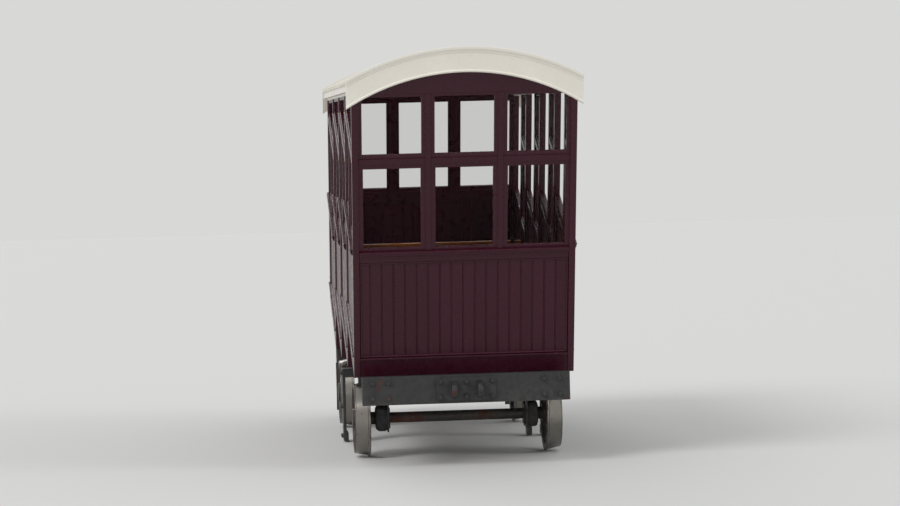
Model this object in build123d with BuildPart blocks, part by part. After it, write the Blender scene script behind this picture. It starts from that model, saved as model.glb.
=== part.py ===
from build123d import *
import math
import os

# A stepped funicular car for a cliff railway, in millimetres.
# X points uphill along the track, Z square off the rails, Y to the left of the climb.
# The body stands plumb on its slope, so its posts lean uphill here by the gradient.

# Slope and track
SLOPE = 20.0
GAUGE = 1473.0
RAIL_HEAD_WIDTH = 70.0

# Stepped body: level depth of a bay, headroom at its downhill edge, width over the sides
BAYS = 4
BAY_DEPTH = 1100.0
HEADROOM = 1900.0
BODY_WIDTH = 1700.0
WALL = 50.0
POST_WIDTH = 70.0
FLOOR_THICK = 38.0
RISER_THICK = 24.0
FLOOR_NOSING = 25.0
NOSING_RADIUS = 12.0
JOIST_DEPTH = 60.0
JOIST_WIDTH = 60.0

# Heights of the wall rails above their own floor
SILL_TOP = 60.0
WAIST_BOTTOM = 850.0
WAIST_TOP = 930.0
TRANSOM_BOTTOM = 1640.0
TRANSOM_TOP = 1690.0
CANT_DEPTH = 96.0
MULLION_WIDTH = 40.0
WAIST_MOULDING = ((893.0, 905.0, 9.0), (905.0, 927.0, 16.0))
PANEL_THICK = 24.0
GLASS_THICK = 6.0

# Doors of the platform side
DOOR_OPENING = 640.0
DOOR_HEIGHT = 940.0
DOOR_THICK = 40.0
DOOR_GAP = 5.0
DOOR_STILE = 75.0
DOOR_RECESS = 10.0
HINGE_HEIGHTS = (150.0, 790.0)
HINGE_LENGTH = 90.0
HINGE_KNUCKLE_R = 9.2
HINGE_PIN_R = 6.0
HINGE_OFFSET = 10.0
HINGE_PLATE = 4.0
PIN_CLEARANCE = 0.3
STRAP_LENGTH = 250.0
STRAP_HEIGHT = 36.0
PLATE_GAP = 0.5
PLATE_WIDTH = 32.0
KNUCKLE_GAP = 0.5
KNUCKLE_LAND = 1.0
HANDLE_INSET = 40.0
HANDLE_HEIGHT = 800.0
HANDLE_ROSE_R = 22.0
HANDLE_ROSE = 8.0
HANDLE_SPINDLE_R = 9.0
HANDLE_REACH = 34.0
HANDLE_LEVER = 115.0
HANDLE_LEVER_THICK = 12.0
GRAB_LOW = 980.0
GRAB_LENGTH = 420.0
GRAB_REACH = 29.0
GRAB_BEND = 14.0
GRAB_RADIUS = 8.0

# Benches: seat height, distance of the front edge from the riser behind, slats
SEAT_HEIGHT = 430.0
SEAT_TO_RISER = 500.0
SEAT_SLAT = (72.0, 24.0)
SEAT_SLATS = 5
SLAT_GAP = 10.0
BACK_SLAT = (84.0, 20.0)
BACK_SLATS = 4
BACK_GAP = 26.0
BACK_LEAN = 4.0
BENCH_END_GAP = 25.0
BENCH_IRON = 32.0
BENCH_IRON_INSET = 75.0
BACK_START = 24.0
LEG_WIDTH = 28.0
LEG_SETBACK = 14.0
FOOT_FLARE = 14.0
FOOT_RISE = 90.0

# Roof: rise of the arch over the body, boards, overhang, ribs and fascias
ROOF_RISE = 210.0
ROOF_THICK = 24.0
EAVES_OVERHANG = 40.0
RIB_DEPTH = 60.0
RIB_WIDTH = 40.0
FASCIA_DEPTH = 190.0
FASCIA_THICK = 26.0
FASCIA_LIP = 8.0
FASCIA_RIM = (26.0, 12.0)
FASCIA_BEAD = (20.0, 9.0)
MOULDING = (30.0, 55.0)

# Underframe
SOLE_DEPTH = 180.0
SOLE_FLANGE = 80.0
SOLE_WEB = 10.0
SOLE_THICK = 12.0
SOLE_INNER = 560.0
BEAM_DEPTH = 220.0
BEAM_THICK = 80.0
BEAM_HALF_WIDTH = 800.0
BEAM_CHAMFER = 12.0
SOLE_START = 240.0
SOLE_END_MARGIN = 105.0
STRUT = 75.0

# Running gear
TREAD_RADIUS = 280.0
FLANGE_DEPTH = 28.0
WHEEL_WIDTH = 125.0
FLANGE_THICK = 31.0
GAUGE_PLAY = 6.5
RIM_RADIUS = 236.0
HUB_RADIUS = 92.0
HUB_LENGTH = 145.0
SPOKES = 8
SPOKE_THICK = 34.0
WHEELBASE = 2800.0
AXLE_RADIUS = 42.0
WHEEL_SEAT_RADIUS = 50.0
SEAT_SHOULDER = 8.0
FLANGE_TIP = 11.0
FLANGE_TIP_WIDTH = 18.0
TREAD_CONE = 4.0
SPOKE_WIDE = 34.0
SPOKE_NARROW = 23.0
SPOKE_ROOT = 6.0
BOX_HALF = 95.0
BOX_THICK = 80.0
BOX_CORNER = 32.0
BOX_NECK_HALF = 80.0
BOX_NECK = 24.0
JOURNAL_CLEARANCE = 0.3
LEAVES = 5
LEAF_THICK = 9.0
LEAF_WIDTH = 70.0
LEAF_STEP = 62.0
BUCKLE_HALF = 32.0
BUCKLE_WALL = 10.0
SPRING_HALF_SPAN = 370.0
SPRING_CAMBER = 43.0
SHOE_THICK = 16.0
SHOE_HALF = 28.0
GUARD_THICK = 12.0
GUARD_TOP_HALF = 200.0
GUARD_FOOT_HALF = 128.0
GUARD_SLOT_GAP = 3.0
GUARD_KEEP = 24.0
CROSS_PLACES = (-1900.0, -700.0, 0.0, 700.0, 1900.0)
CROSS_HALF_LENGTH = 60.0
CROSS_INSET = 20.0
CROSS_WALL = 10.0
BEARER_TIP = 12.0

# Rope anchor, buffers, safety brakes and rail guards
ROPE_SPACING = 200.0
EYE_RADIUS = 17.0
EYE_OUTER = 46.0
EYE_THICK = 40.0
EYE_REACH = 110.0
EYE_ROOT = 70.0
ANCHOR_PLATE = 16.0
ANCHOR_HALF_WIDTH = 230.0
ANCHOR_HALF_HEIGHT = 90.0
BUFFER_SPACING = 900.0
BUFFER_LENGTH = 230.0
BUFFER_HEAD_RADIUS = 120.0
BUFFER_HEAD_THICK = 34.0
BUFFER_CROWN = 14.0
BUFFER_RAM = 34.0
BUFFER_STOCK = 150.0
BUFFER_MOUTH = 52.0
BUFFER_ROOT = 70.0
BUFFER_FLANGE = 16.0
BUFFER_FLANGE_RADIUS = 100.0
BRAKE_LENGTH = 170.0
BRAKE_CLEARANCE = 5.0
BRAKE_FLOOR = 10.0
BRAKE_BEAM_LOW = 545.0
BRAKE_BEAM = 70.0
BRAKE_ARM = 40.0
BRAKE_STEP = 16.0
BRAKE_JAW = 70.0
RAIL_GUARD_FLOOR = 60.0
RAIL_GUARD_KNEE = 190.0
RAIL_GUARD_SET = 50.0
RAIL_GUARD_THICK = 14.0
RAIL_GUARD_WIDTH = 70.0

# Worked out from the driving dimensions
SIN_S = math.sin(math.radians(SLOPE))
COS_S = math.cos(math.radians(SLOPE))
TAN_S = SIN_S / COS_S
BAY_RISE = BAY_DEPTH * TAN_S
BODY_LENGTH = BAYS * BAY_DEPTH
HALF = BODY_WIDTH / 2
INNER = HALF - WALL
SEAT_FRONT = BAY_DEPTH - SEAT_TO_RISER
BENCH_HALF = INNER - BENCH_END_GAP
BENCH_IRON_PLACE = BENCH_HALF - BENCH_IRON_INSET
POST_HALF = POST_WIDTH / 2
WALL_HALF = WALL / 2
JOIST_TOP = -FLOOR_THICK
JOIST_BOTTOM = JOIST_TOP - JOIST_DEPTH
AXLE_Z = TREAD_RADIUS + FLANGE_DEPTH
SPRING_ROOM = BUCKLE_WALL + LEAVES * LEAF_THICK + SPRING_CAMBER + SHOE_THICK
SOLE_BOTTOM = AXLE_Z + BOX_HALF + SPRING_ROOM
SOLE_TOP = SOLE_BOTTOM + SOLE_DEPTH
SOLE_CENTRE = SOLE_INNER + SOLE_FLANGE / 2
FLOOR_Z = SOLE_TOP + (BAY_DEPTH + RISER_THICK / 2) * SIN_S + (BEARER_TIP - JOIST_BOTTOM) * COS_S
CEILING_RADIUS = (HALF ** 2 + ROOF_RISE ** 2) / (2 * ROOF_RISE)
CEILING_SIDE_Z = FLOOR_Z + HEADROOM * COS_S
ARCH_Z = CEILING_SIDE_Z - CEILING_RADIUS + ROOF_RISE
ROOF_RADIUS = CEILING_RADIUS + ROOF_THICK
FASCIA_RADIUS = ROOF_RADIUS + FASCIA_LIP
EAVES_HALF = HALF + EAVES_OVERHANG
FASCIA_H = POST_HALF + FASCIA_THICK
FASCIA_REACH = FASCIA_H + FASCIA_RIM[1]
LEVEL = (COS_S, 0, -SIN_S)
UPRIGHT = (SIN_S, 0, COS_S)

# Overall ends, measured from the downhill edge of the lowest floor
LOW_REACH = -(SOLE_START + BEAM_THICK + BUFFER_LENGTH)
HIGH_REACH = (BODY_LENGTH + FASCIA_REACH) / COS_S + (ARCH_Z + FASCIA_RADIUS - FLOOR_Z) * TAN_S
BODY_X = -(LOW_REACH + HIGH_REACH) / 2
SOLE_LOW = BODY_X - SOLE_START
SOLE_HIGH = BODY_X + BODY_LENGTH / COS_S - BAY_RISE * SIN_S + SOLE_END_MARGIN
AXLE_X = tuple((SOLE_LOW + SOLE_HIGH + end * WHEELBASE) / 2 for end in (-1, 1))
LONG = BODY_LENGTH * 2


# Planes of the plumb body and of the track
def spot(level, up, across=0.0):
    """Point a level distance uphill and straight up from the lowest floor's edge."""
    x = BODY_X + level * COS_S + up * SIN_S
    z = FLOOR_Z - level * SIN_S + up * COS_S
    return Vector(x, across, z)


def side_plane(across):
    """Plumb plane along the car: x level uphill, y straight up, normal to the right."""
    return Plane(origin=spot(0, 0, across), x_dir=LEVEL, z_dir=(0, -1, 0))


def wall_plane(side):
    """Sketch plane of a side wall, from which it is extruded by its thickness."""
    return side_plane(HALF if side > 0 else -INNER)


def end_plane(level):
    """Plumb plane across the car: x to the left, y straight up, normal uphill."""
    return Plane(origin=spot(level, 0), x_dir=(0, 1, 0), z_dir=LEVEL)


def deck_plane(up):
    """Level plane of the plumb body: x level uphill, y to the left, normal straight up."""
    return Plane(origin=spot(0, up), x_dir=LEVEL, z_dir=UPRIGHT)


def cross_plane(x):
    """Plane square across the track: x to the left, y off the rails."""
    return Plane(origin=(x, 0, 0), x_dir=(0, 1, 0), z_dir=(1, 0, 0))


def long_plane(across, x=0.0, z=0.0):
    """Plane along the track: x uphill, y off the rails, normal to the right."""
    return Plane(origin=(x, across, z), x_dir=(1, 0, 0), z_dir=(0, -1, 0))


def bar(from_x, to_x, from_y, to_y, mode=Mode.ADD):
    """Rectangle between two corners, in the sketch that is open."""
    with Locations(((from_x + to_x) / 2, (from_y + to_y) / 2)):
        Rectangle(abs(to_x - from_x), abs(to_y - from_y), mode=mode)


def cant_line(level):
    """Height of the cant rail's underside at a level distance uphill."""
    return HEADROOM - CANT_DEPTH + level * TAN_S


def sole_line(level):
    """Height of the sole bars' top at a level distance uphill."""
    return (SOLE_TOP - FLOOR_Z) / COS_S + level * TAN_S


def under_cant(from_h, to_h, from_v):
    """Upright board whose top follows the cant rail."""
    corners = ((from_h, from_v), (to_h, from_v), (to_h, cant_line(to_h)), (from_h, cant_line(from_h)))
    Polygon(*corners, align=None)


def save(piece, name):
    """Label a finished piece and write its file."""
    piece.part.label = name
    export_step(piece.part, f"parts/{name}.step")


os.makedirs("parts", exist_ok=True)

# Space above the ceiling, which trims what meets the roof
with BuildPart() as above_ceiling:
    with BuildSketch(cross_plane(-LONG)):
        bar(-BODY_WIDTH, BODY_WIDTH, ARCH_Z, ARCH_Z + CEILING_RADIUS * 2)
        with Locations((0, ARCH_Z)):
            Circle(CEILING_RADIUS, mode=Mode.SUBTRACT)
    extrude(amount=2 * LONG)

# Sole bars: channels with their flanges outwards
with BuildPart() as sole_bars:
    with BuildSketch(cross_plane(SOLE_LOW)):
        for side in (-1, 1):
            outer = side * (SOLE_INNER + SOLE_FLANGE)
            bar(side * SOLE_INNER, side * (SOLE_INNER + SOLE_WEB), SOLE_BOTTOM, SOLE_TOP)
            bar(side * SOLE_INNER, outer, SOLE_BOTTOM, SOLE_BOTTOM + SOLE_THICK)
            bar(side * SOLE_INNER, outer, SOLE_TOP - SOLE_THICK, SOLE_TOP)
    extrude(amount=SOLE_HIGH - SOLE_LOW)
save(sole_bars, "sole_bars")

# Headstocks across both ends of the sole bars
BEAM_Z = (SOLE_BOTTOM + SOLE_TOP) / 2
with BuildPart() as headstocks:
    with BuildSketch(Plane.XY.offset(BEAM_Z - BEAM_DEPTH / 2)):
        for inner_x, outer_x in ((SOLE_LOW, SOLE_LOW - BEAM_THICK), (SOLE_HIGH, SOLE_HIGH + BEAM_THICK)):
            bar(inner_x, outer_x, -BEAM_HALF_WIDTH, BEAM_HALF_WIDTH)
    extrude(amount=BEAM_DEPTH)
    chamfer(headstocks.edges().filter_by(Axis.Z), BEAM_CHAMFER)
save(headstocks, "headstocks")

# Cross members between the sole bars, channels lying on their backs
with BuildPart() as cross_members:
    with BuildSketch(long_plane(SOLE_INNER)):
        for place in CROSS_PLACES:
            middle = (SOLE_LOW + SOLE_HIGH) / 2 + place
            low = SOLE_BOTTOM + CROSS_INSET
            high = SOLE_TOP - CROSS_INSET
            bar(middle - CROSS_HALF_LENGTH, middle + CROSS_HALF_LENGTH, low, low + CROSS_WALL)
            bar(middle - CROSS_HALF_LENGTH, middle - CROSS_HALF_LENGTH + CROSS_WALL, low, high)
            bar(middle + CROSS_HALF_LENGTH - CROSS_WALL, middle + CROSS_HALF_LENGTH, low, high)
    extrude(amount=2 * SOLE_INNER)
save(cross_members, "cross_members")

# Plumb struts from the sole bars up to the downhill edge of each floor
STRUT_START = RISER_THICK / 2
with BuildPart() as bearer_struts:
    for side in (-1, 1):
        with BuildSketch(side_plane(side * SOLE_CENTRE + STRUT / 2)):
            for bay in range(BAYS):
                near = bay * BAY_DEPTH + STRUT_START
                far = near + STRUT
                top = bay * BAY_RISE + JOIST_BOTTOM
                corners = ((near, sole_line(near)), (far, sole_line(far)), (far, top), (near, top))
                Polygon(*corners, align=None)
        extrude(amount=STRUT)
save(bearer_struts, "bearer_struts")

# Level bearers under the joists, tapering out on the sole bars
with BuildPart() as level_bearers:
    for side in (-1, 1):
        with BuildSketch(side_plane(side * SOLE_CENTRE + STRUT / 2)):
            for bay in range(BAYS):
                near = bay * BAY_DEPTH + STRUT_START + STRUT
                last = BAY_DEPTH - WALL_HALF if bay == BAYS - 1 else BAY_DEPTH + STRUT_START
                far = bay * BAY_DEPTH + last
                top = bay * BAY_RISE + JOIST_BOTTOM
                low = top - STRUT
                knee = (low - sole_line(0)) / TAN_S
                corners = ((near, low), (knee, low), (far, sole_line(far)), (far, top), (near, top))
                Polygon(*corners, align=None)
        extrude(amount=STRUT)
save(level_bearers, "level_bearers")

# Cross joists: one at each edge of a floor and one in its middle
with BuildPart() as floor_joists:
    with BuildSketch(side_plane(INNER)):
        for bay in range(BAYS):
            start = bay * BAY_DEPTH
            first = start + (WALL_HALF if bay == 0 else STRUT_START)
            last = start + BAY_DEPTH - (WALL_HALF if bay == BAYS - 1 else -STRUT_START) - JOIST_WIDTH
            for near in (first, (first + last) / 2, last):
                top = bay * BAY_RISE + JOIST_TOP
                bar(near, near + JOIST_WIDTH, top - JOIST_DEPTH, top)
    extrude(amount=2 * INNER)
save(floor_joists, "floor_joists")

# Floors, one to a bay, with a rounded nosing over the riser below
with BuildPart() as floors:
    with BuildSketch(side_plane(INNER)):
        for bay in range(BAYS):
            near = WALL_HALF if bay == 0 else bay * BAY_DEPTH - RISER_THICK / 2 - FLOOR_NOSING
            far = BODY_LENGTH - WALL_HALF if bay == BAYS - 1 else (bay + 1) * BAY_DEPTH + RISER_THICK / 2
            bar(near, far, bay * BAY_RISE - FLOOR_THICK, bay * BAY_RISE)
    extrude(amount=2 * INNER)
    for bay in range(1, BAYS):
        nosing = spot(bay * BAY_DEPTH - RISER_THICK / 2 - FLOOR_NOSING, bay * BAY_RISE)
        fillet(floors.edges().filter_by(Axis.Y).sort_by_distance(nosing)[0], NOSING_RADIUS)
save(floors, "floors")

# Risers between the floors
with BuildPart() as risers:
    with BuildSketch(side_plane(INNER)):
        for bay in range(1, BAYS):
            middle = bay * BAY_DEPTH
            half = RISER_THICK / 2
            bar(middle - half, middle + half, (bay - 1) * BAY_RISE, bay * BAY_RISE - FLOOR_THICK)
    extrude(amount=2 * INNER)
save(risers, "risers")

# Posts of both sides: a main post at each step, and on the platform side a door post
DOOR_POST = (POST_HALF + DOOR_OPENING, POST_HALF + DOOR_OPENING + POST_WIDTH)
FIXED_START = DOOR_POST[1]
BAY_END = BAY_DEPTH - POST_HALF
for side, name in ((-1, "track_side_posts"), (1, "platform_side_posts")):
    with BuildPart() as posts:
        with BuildSketch(wall_plane(side)):
            for step in range(BAYS + 1):
                middle = step * BAY_DEPTH
                foot = max(step - 1, 0) * BAY_RISE + JOIST_BOTTOM
                under_cant(middle - POST_HALF, middle + POST_HALF, foot)
            if side > 0:
                for bay in range(BAYS):
                    start = bay * BAY_DEPTH
                    under_cant(start + DOOR_POST[0], start + DOOR_POST[1], bay * BAY_RISE + JOIST_BOTTOM)
        extrude(amount=WALL)
    save(posts, name)

# Rails between the posts. Columns: from and to uphill in the bay, from and to above its floor
TRACK_MIDDLE = (POST_HALF + BAY_END) / 2
TRACK_RAILS = (
    (POST_HALF, BAY_END, JOIST_BOTTOM, SILL_TOP),
    (POST_HALF, BAY_END, WAIST_BOTTOM, WAIST_TOP),
    (POST_HALF, BAY_END, TRANSOM_BOTTOM, TRANSOM_TOP),
)
PLATFORM_RAILS = (
    (POST_HALF, DOOR_POST[0], JOIST_BOTTOM, 0.0),
    (FIXED_START, BAY_END, JOIST_BOTTOM, SILL_TOP),
    (FIXED_START, BAY_END, WAIST_BOTTOM, WAIST_TOP),
    (FIXED_START, BAY_END, TRANSOM_BOTTOM, TRANSOM_TOP),
)
RAILED_SIDES = ((-1, TRACK_RAILS, "track_side_rails"), (1, PLATFORM_RAILS, "platform_side_rails"))
for side, rails, name in RAILED_SIDES:
    with BuildPart() as side_rails:
        with BuildSketch(wall_plane(side)):
            for bay in range(BAYS):
                start = bay * BAY_DEPTH
                floor_v = bay * BAY_RISE
                for from_h, to_h, from_v, to_v in rails:
                    bar(start + from_h, start + to_h, floor_v + from_v, floor_v + to_v)
        extrude(amount=WALL)
    save(side_rails, name)

# Mullions that halve the windows of the track side
with BuildPart() as side_mullions:
    with BuildSketch(wall_plane(-1)):
        for bay in range(BAYS):
            middle = bay * BAY_DEPTH + TRACK_MIDDLE
            floor_v = bay * BAY_RISE
            half = MULLION_WIDTH / 2
            bar(middle - half, middle + half, floor_v + WAIST_TOP, floor_v + TRANSOM_BOTTOM)
    extrude(amount=WALL)
save(side_mullions, "side_mullions")

# Cant rails along the tops of both sides, trimmed to the ceiling
with BuildPart() as cant_rails:
    for side in (-1, 1):
        with BuildSketch(wall_plane(side)):
            near = -POST_HALF
            far = BODY_LENGTH + POST_HALF
            rise = CANT_DEPTH + WALL
            corners = (
                (near, cant_line(near)),
                (far, cant_line(far)),
                (far, cant_line(far) + rise),
                (near, cant_line(near) + rise),
            )
            Polygon(*corners, align=None)
        extrude(amount=WALL)
    add(above_ceiling.part, mode=Mode.SUBTRACT)
save(cant_rails, "cant_rails")

# Lower panels of the sides
PANEL_INSET = (WALL - PANEL_THICK) / 2
PANELLED_SIDES = ((-1, POST_HALF, "track_side_panels"), (1, FIXED_START, "platform_side_panels"))
for side, from_h, name in PANELLED_SIDES:
    with BuildPart() as panels:
        with BuildSketch(wall_plane(side).offset(PANEL_INSET)):
            for bay in range(BAYS):
                start = bay * BAY_DEPTH
                floor_v = bay * BAY_RISE
                bar(start + from_h, start + BAY_END, floor_v + SILL_TOP, floor_v + WAIST_BOTTOM)
        extrude(amount=PANEL_THICK)
    save(panels, name)

# Panes of the sides: lower lights and a top light that follows the roof
GLASS_INSET = (WALL - GLASS_THICK) / 2
PANES = (
    (-1, ((POST_HALF, TRACK_MIDDLE - MULLION_WIDTH / 2), (TRACK_MIDDLE + MULLION_WIDTH / 2, BAY_END))),
    (1, ((FIXED_START, BAY_END),)),
)
with BuildPart() as side_glass:
    for side, lights in PANES:
        with BuildSketch(wall_plane(side).offset(GLASS_INSET)):
            for bay in range(BAYS):
                start = bay * BAY_DEPTH
                floor_v = bay * BAY_RISE
                for from_h, to_h in lights:
                    bar(start + from_h, start + to_h, floor_v + WAIST_TOP, floor_v + TRANSOM_BOTTOM)
                under_cant(start + lights[0][0], start + BAY_END, floor_v + TRANSOM_TOP)
        extrude(amount=GLASS_THICK)
save(side_glass, "side_glass")

# End walls. Columns: level place, height of its floor, whether it has a transom
END_WALLS = ((0.0, 0.0, False), (BODY_LENGTH, (BAYS - 1) * BAY_RISE, True))
END_MULLION = 45.0
END_MULLION_Y = (2 * INNER - 2 * END_MULLION) / 6 + END_MULLION / 2
END_LIGHTS = (
    (-INNER, -END_MULLION_Y - END_MULLION / 2),
    (-END_MULLION_Y + END_MULLION / 2, END_MULLION_Y - END_MULLION / 2),
    (END_MULLION_Y + END_MULLION / 2, INNER),
)

with BuildPart() as end_rails:
    for level, floor_v, has_transom in END_WALLS:
        with BuildSketch(end_plane(level - WALL_HALF)):
            bar(-INNER, INNER, floor_v + JOIST_BOTTOM, floor_v + SILL_TOP)
            bar(-INNER, INNER, floor_v + WAIST_BOTTOM, floor_v + WAIST_TOP)
            bar(-INNER, INNER, cant_line(level), cant_line(level) + CANT_DEPTH + 2 * ROOF_RISE)
            if has_transom:
                for from_y, to_y in END_LIGHTS:
                    bar(from_y, to_y, floor_v + TRANSOM_BOTTOM, floor_v + TRANSOM_TOP)
        extrude(amount=WALL)
    add(above_ceiling.part, mode=Mode.SUBTRACT)
save(end_rails, "end_rails")

with BuildPart() as end_mullions:
    for level, floor_v, has_transom in END_WALLS:
        with BuildSketch(end_plane(level - WALL_HALF)):
            for side in (-1, 1):
                middle = side * END_MULLION_Y
                half = END_MULLION / 2
                bar(middle - half, middle + half, floor_v + WAIST_TOP, cant_line(level))
        extrude(amount=WALL)
save(end_mullions, "end_mullions")

with BuildPart() as end_panels:
    for level, floor_v, has_transom in END_WALLS:
        with BuildSketch(end_plane(level - PANEL_THICK / 2)):
            bar(-INNER, INNER, floor_v + SILL_TOP, floor_v + WAIST_BOTTOM)
        extrude(amount=PANEL_THICK)
save(end_panels, "end_panels")

with BuildPart() as end_glass:
    for level, floor_v, has_transom in END_WALLS:
        with BuildSketch(end_plane(level - GLASS_THICK / 2)):
            for from_y, to_y in END_LIGHTS:
                if has_transom:
                    bar(from_y, to_y, floor_v + WAIST_TOP, floor_v + TRANSOM_BOTTOM)
                    bar(from_y, to_y, floor_v + TRANSOM_TOP, cant_line(level))
                else:
                    bar(from_y, to_y, floor_v + WAIST_TOP, cant_line(level))
        extrude(amount=GLASS_THICK)
save(end_glass, "end_glass")


# Waist mouldings outside the sides and ends. Rows: from and to above the floor, stand-off
with BuildPart() as waist_mouldings:
    for from_v, to_v, stand_off in WAIST_MOULDING:
        for side, from_h in ((-1, POST_HALF), (1, FIXED_START)):
            with BuildSketch(side_plane(side * HALF)):
                for bay in range(BAYS):
                    start = bay * BAY_DEPTH
                    floor_v = bay * BAY_RISE
                    bar(start + from_h - POST_WIDTH, start + BAY_END, floor_v + from_v, floor_v + to_v)
            extrude(amount=-side * stand_off)
        for (level, floor_v, has_transom), way in zip(END_WALLS, (-1, 1)):
            with BuildSketch(end_plane(level + way * WALL_HALF)):
                bar(-INNER, INNER, floor_v + from_v, floor_v + to_v)
            extrude(amount=way * stand_off)
save(waist_mouldings, "waist_mouldings")


# Roof: arched sections are drawn across the track and cut off plumb
def arched_section(inner_radius, outer_radius, half_width, x):
    """Arched band under the ridge, drawn square across the track at x."""
    with BuildSketch(cross_plane(x)) as section:
        with Locations((0, ARCH_Z)):
            Circle(outer_radius)
            Circle(inner_radius, mode=Mode.SUBTRACT)
        bar(-half_width, half_width, ARCH_Z, ARCH_Z + 2 * outer_radius, mode=Mode.INTERSECT)
    return section.sketch


ROOF_SPAN = (-POST_HALF, BODY_LENGTH + POST_HALF)
with BuildPart() as roof_boards:
    extrude(arched_section(CEILING_RADIUS, ROOF_RADIUS, EAVES_HALF, -LONG), amount=2 * LONG)
    with BuildSketch(side_plane(BODY_WIDTH)):
        bar(*ROOF_SPAN, -LONG, LONG)
    extrude(amount=2 * BODY_WIDTH, mode=Mode.INTERSECT)
save(roof_boards, "roof_boards")

# Fascias under both ends of the roof: a board, a rim along its top and a bead along its foot.
# Columns: inner and outer radius of the arch, from and to outwards of the end posts' middle
FASCIA_FOOT = FASCIA_RADIUS - FASCIA_DEPTH
FASCIA_BANDS = (
    (FASCIA_FOOT, FASCIA_RADIUS, POST_HALF, FASCIA_H),
    (FASCIA_RADIUS - FASCIA_RIM[0], FASCIA_RADIUS, FASCIA_H, FASCIA_H + FASCIA_RIM[1]),
    (FASCIA_FOOT, FASCIA_FOOT + FASCIA_BEAD[0], FASCIA_H, FASCIA_H + FASCIA_BEAD[1]),
)
bands = []
for inner_radius, outer_radius, near, far in FASCIA_BANDS:
    with BuildPart() as band:
        extrude(arched_section(inner_radius, outer_radius, EAVES_HALF, -LONG), amount=2 * LONG)
        with BuildSketch(side_plane(BODY_WIDTH)):
            bar(-far, -near, -LONG, LONG)
            bar(BODY_LENGTH + near, BODY_LENGTH + far, -LONG, LONG)
        extrude(amount=2 * BODY_WIDTH, mode=Mode.INTERSECT)
    bands.append(band.part)
with BuildPart() as roof_fascias:
    add(bands)
save(roof_fascias, "roof_fascias")

# Roof ribs under the boards, at each post and midway between
with BuildPart() as roof_ribs:
    for step in range(1, 2 * BAYS):
        rib_x = BODY_X + step * BAY_DEPTH / 2 / COS_S + (CEILING_SIDE_Z - FLOOR_Z) * TAN_S
        rib_start = rib_x - RIB_WIDTH / 2
        rib = arched_section(CEILING_RADIUS - RIB_DEPTH, CEILING_RADIUS, INNER, rib_start)
        extrude(rib, amount=RIB_WIDTH)
save(roof_ribs, "roof_ribs")

# Mouldings under the eaves, outside the cant rails
with BuildPart() as eaves_mouldings:
    thick, deep = MOULDING
    moulding_z = ARCH_Z + math.sqrt(CEILING_RADIUS ** 2 - (HALF + thick) ** 2) - deep
    with BuildSketch(cross_plane(-LONG)):
        for side in (-1, 1):
            bar(side * HALF, side * (HALF + thick), moulding_z, moulding_z + 2 * deep)
    extrude(amount=2 * LONG)
    add(above_ceiling.part, mode=Mode.SUBTRACT)
    with BuildSketch(side_plane(BODY_WIDTH)):
        bar(*ROOF_SPAN, -LONG, LONG)
    extrude(amount=2 * BODY_WIDTH, mode=Mode.INTERSECT)
save(eaves_mouldings, "eaves_mouldings")

# Doors of the platform side, hinged at their downhill edge, with a sunk panel on each face
for bay in range(BAYS):
    near = bay * BAY_DEPTH + POST_HALF + DOOR_GAP
    far = near + DOOR_OPENING - 2 * DOOR_GAP
    low = bay * BAY_RISE + DOOR_GAP
    high = low + DOOR_HEIGHT
    with BuildPart() as door:
        with BuildSketch(side_plane(HALF)):
            bar(near, far, low, high)
        extrude(amount=DOOR_THICK)
        for face in (HALF, HALF - DOOR_THICK + DOOR_RECESS):
            with BuildSketch(side_plane(face)):
                bar(near + DOOR_STILE, far - DOOR_STILE, low + DOOR_STILE, high - DOOR_STILE)
            extrude(amount=DOOR_RECESS, mode=Mode.SUBTRACT)
    save(door, f"door_{bay + 1}")

    hinge_h = bay * BAY_DEPTH + POST_HALF + DOOR_GAP / 2
    hinge_y = HALF + HINGE_OFFSET
    with BuildPart() as door_fittings:
        for height in HINGE_HEIGHTS:
            with BuildSketch(deck_plane(bay * BAY_RISE + height - STRAP_HEIGHT / 2)):
                with Locations((hinge_h, hinge_y)):
                    Circle(HINGE_KNUCKLE_R)
                bar(hinge_h + PLATE_GAP, hinge_h + HINGE_KNUCKLE_R, HALF, hinge_y)
                bar(hinge_h + PLATE_GAP, hinge_h + STRAP_LENGTH, HALF, HALF + HINGE_PLATE)
                with Locations((hinge_h, hinge_y)):
                    Circle(HINGE_PIN_R + PIN_CLEARANCE, mode=Mode.SUBTRACT)
            extrude(amount=STRAP_HEIGHT)
        handle = spot(far - HANDLE_INSET, low + HANDLE_HEIGHT)
        handle_plane = Plane(origin=(handle.X, HALF, handle.Z), x_dir=LEVEL, z_dir=(0, 1, 0))
        with BuildSketch(handle_plane):
            Circle(HANDLE_ROSE_R)
        extrude(amount=HANDLE_ROSE)
        with BuildSketch(handle_plane):
            Circle(HANDLE_SPINDLE_R)
        extrude(amount=HANDLE_REACH)
        with BuildSketch(handle_plane.offset(HANDLE_REACH)):
            with Locations((-HANDLE_LEVER / 2 + HANDLE_SPINDLE_R, 0)):
                SlotOverall(HANDLE_LEVER, 2 * HANDLE_SPINDLE_R)
        extrude(amount=-HANDLE_LEVER_THICK)
    save(door_fittings, f"door_fittings_{bay + 1}")

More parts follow.
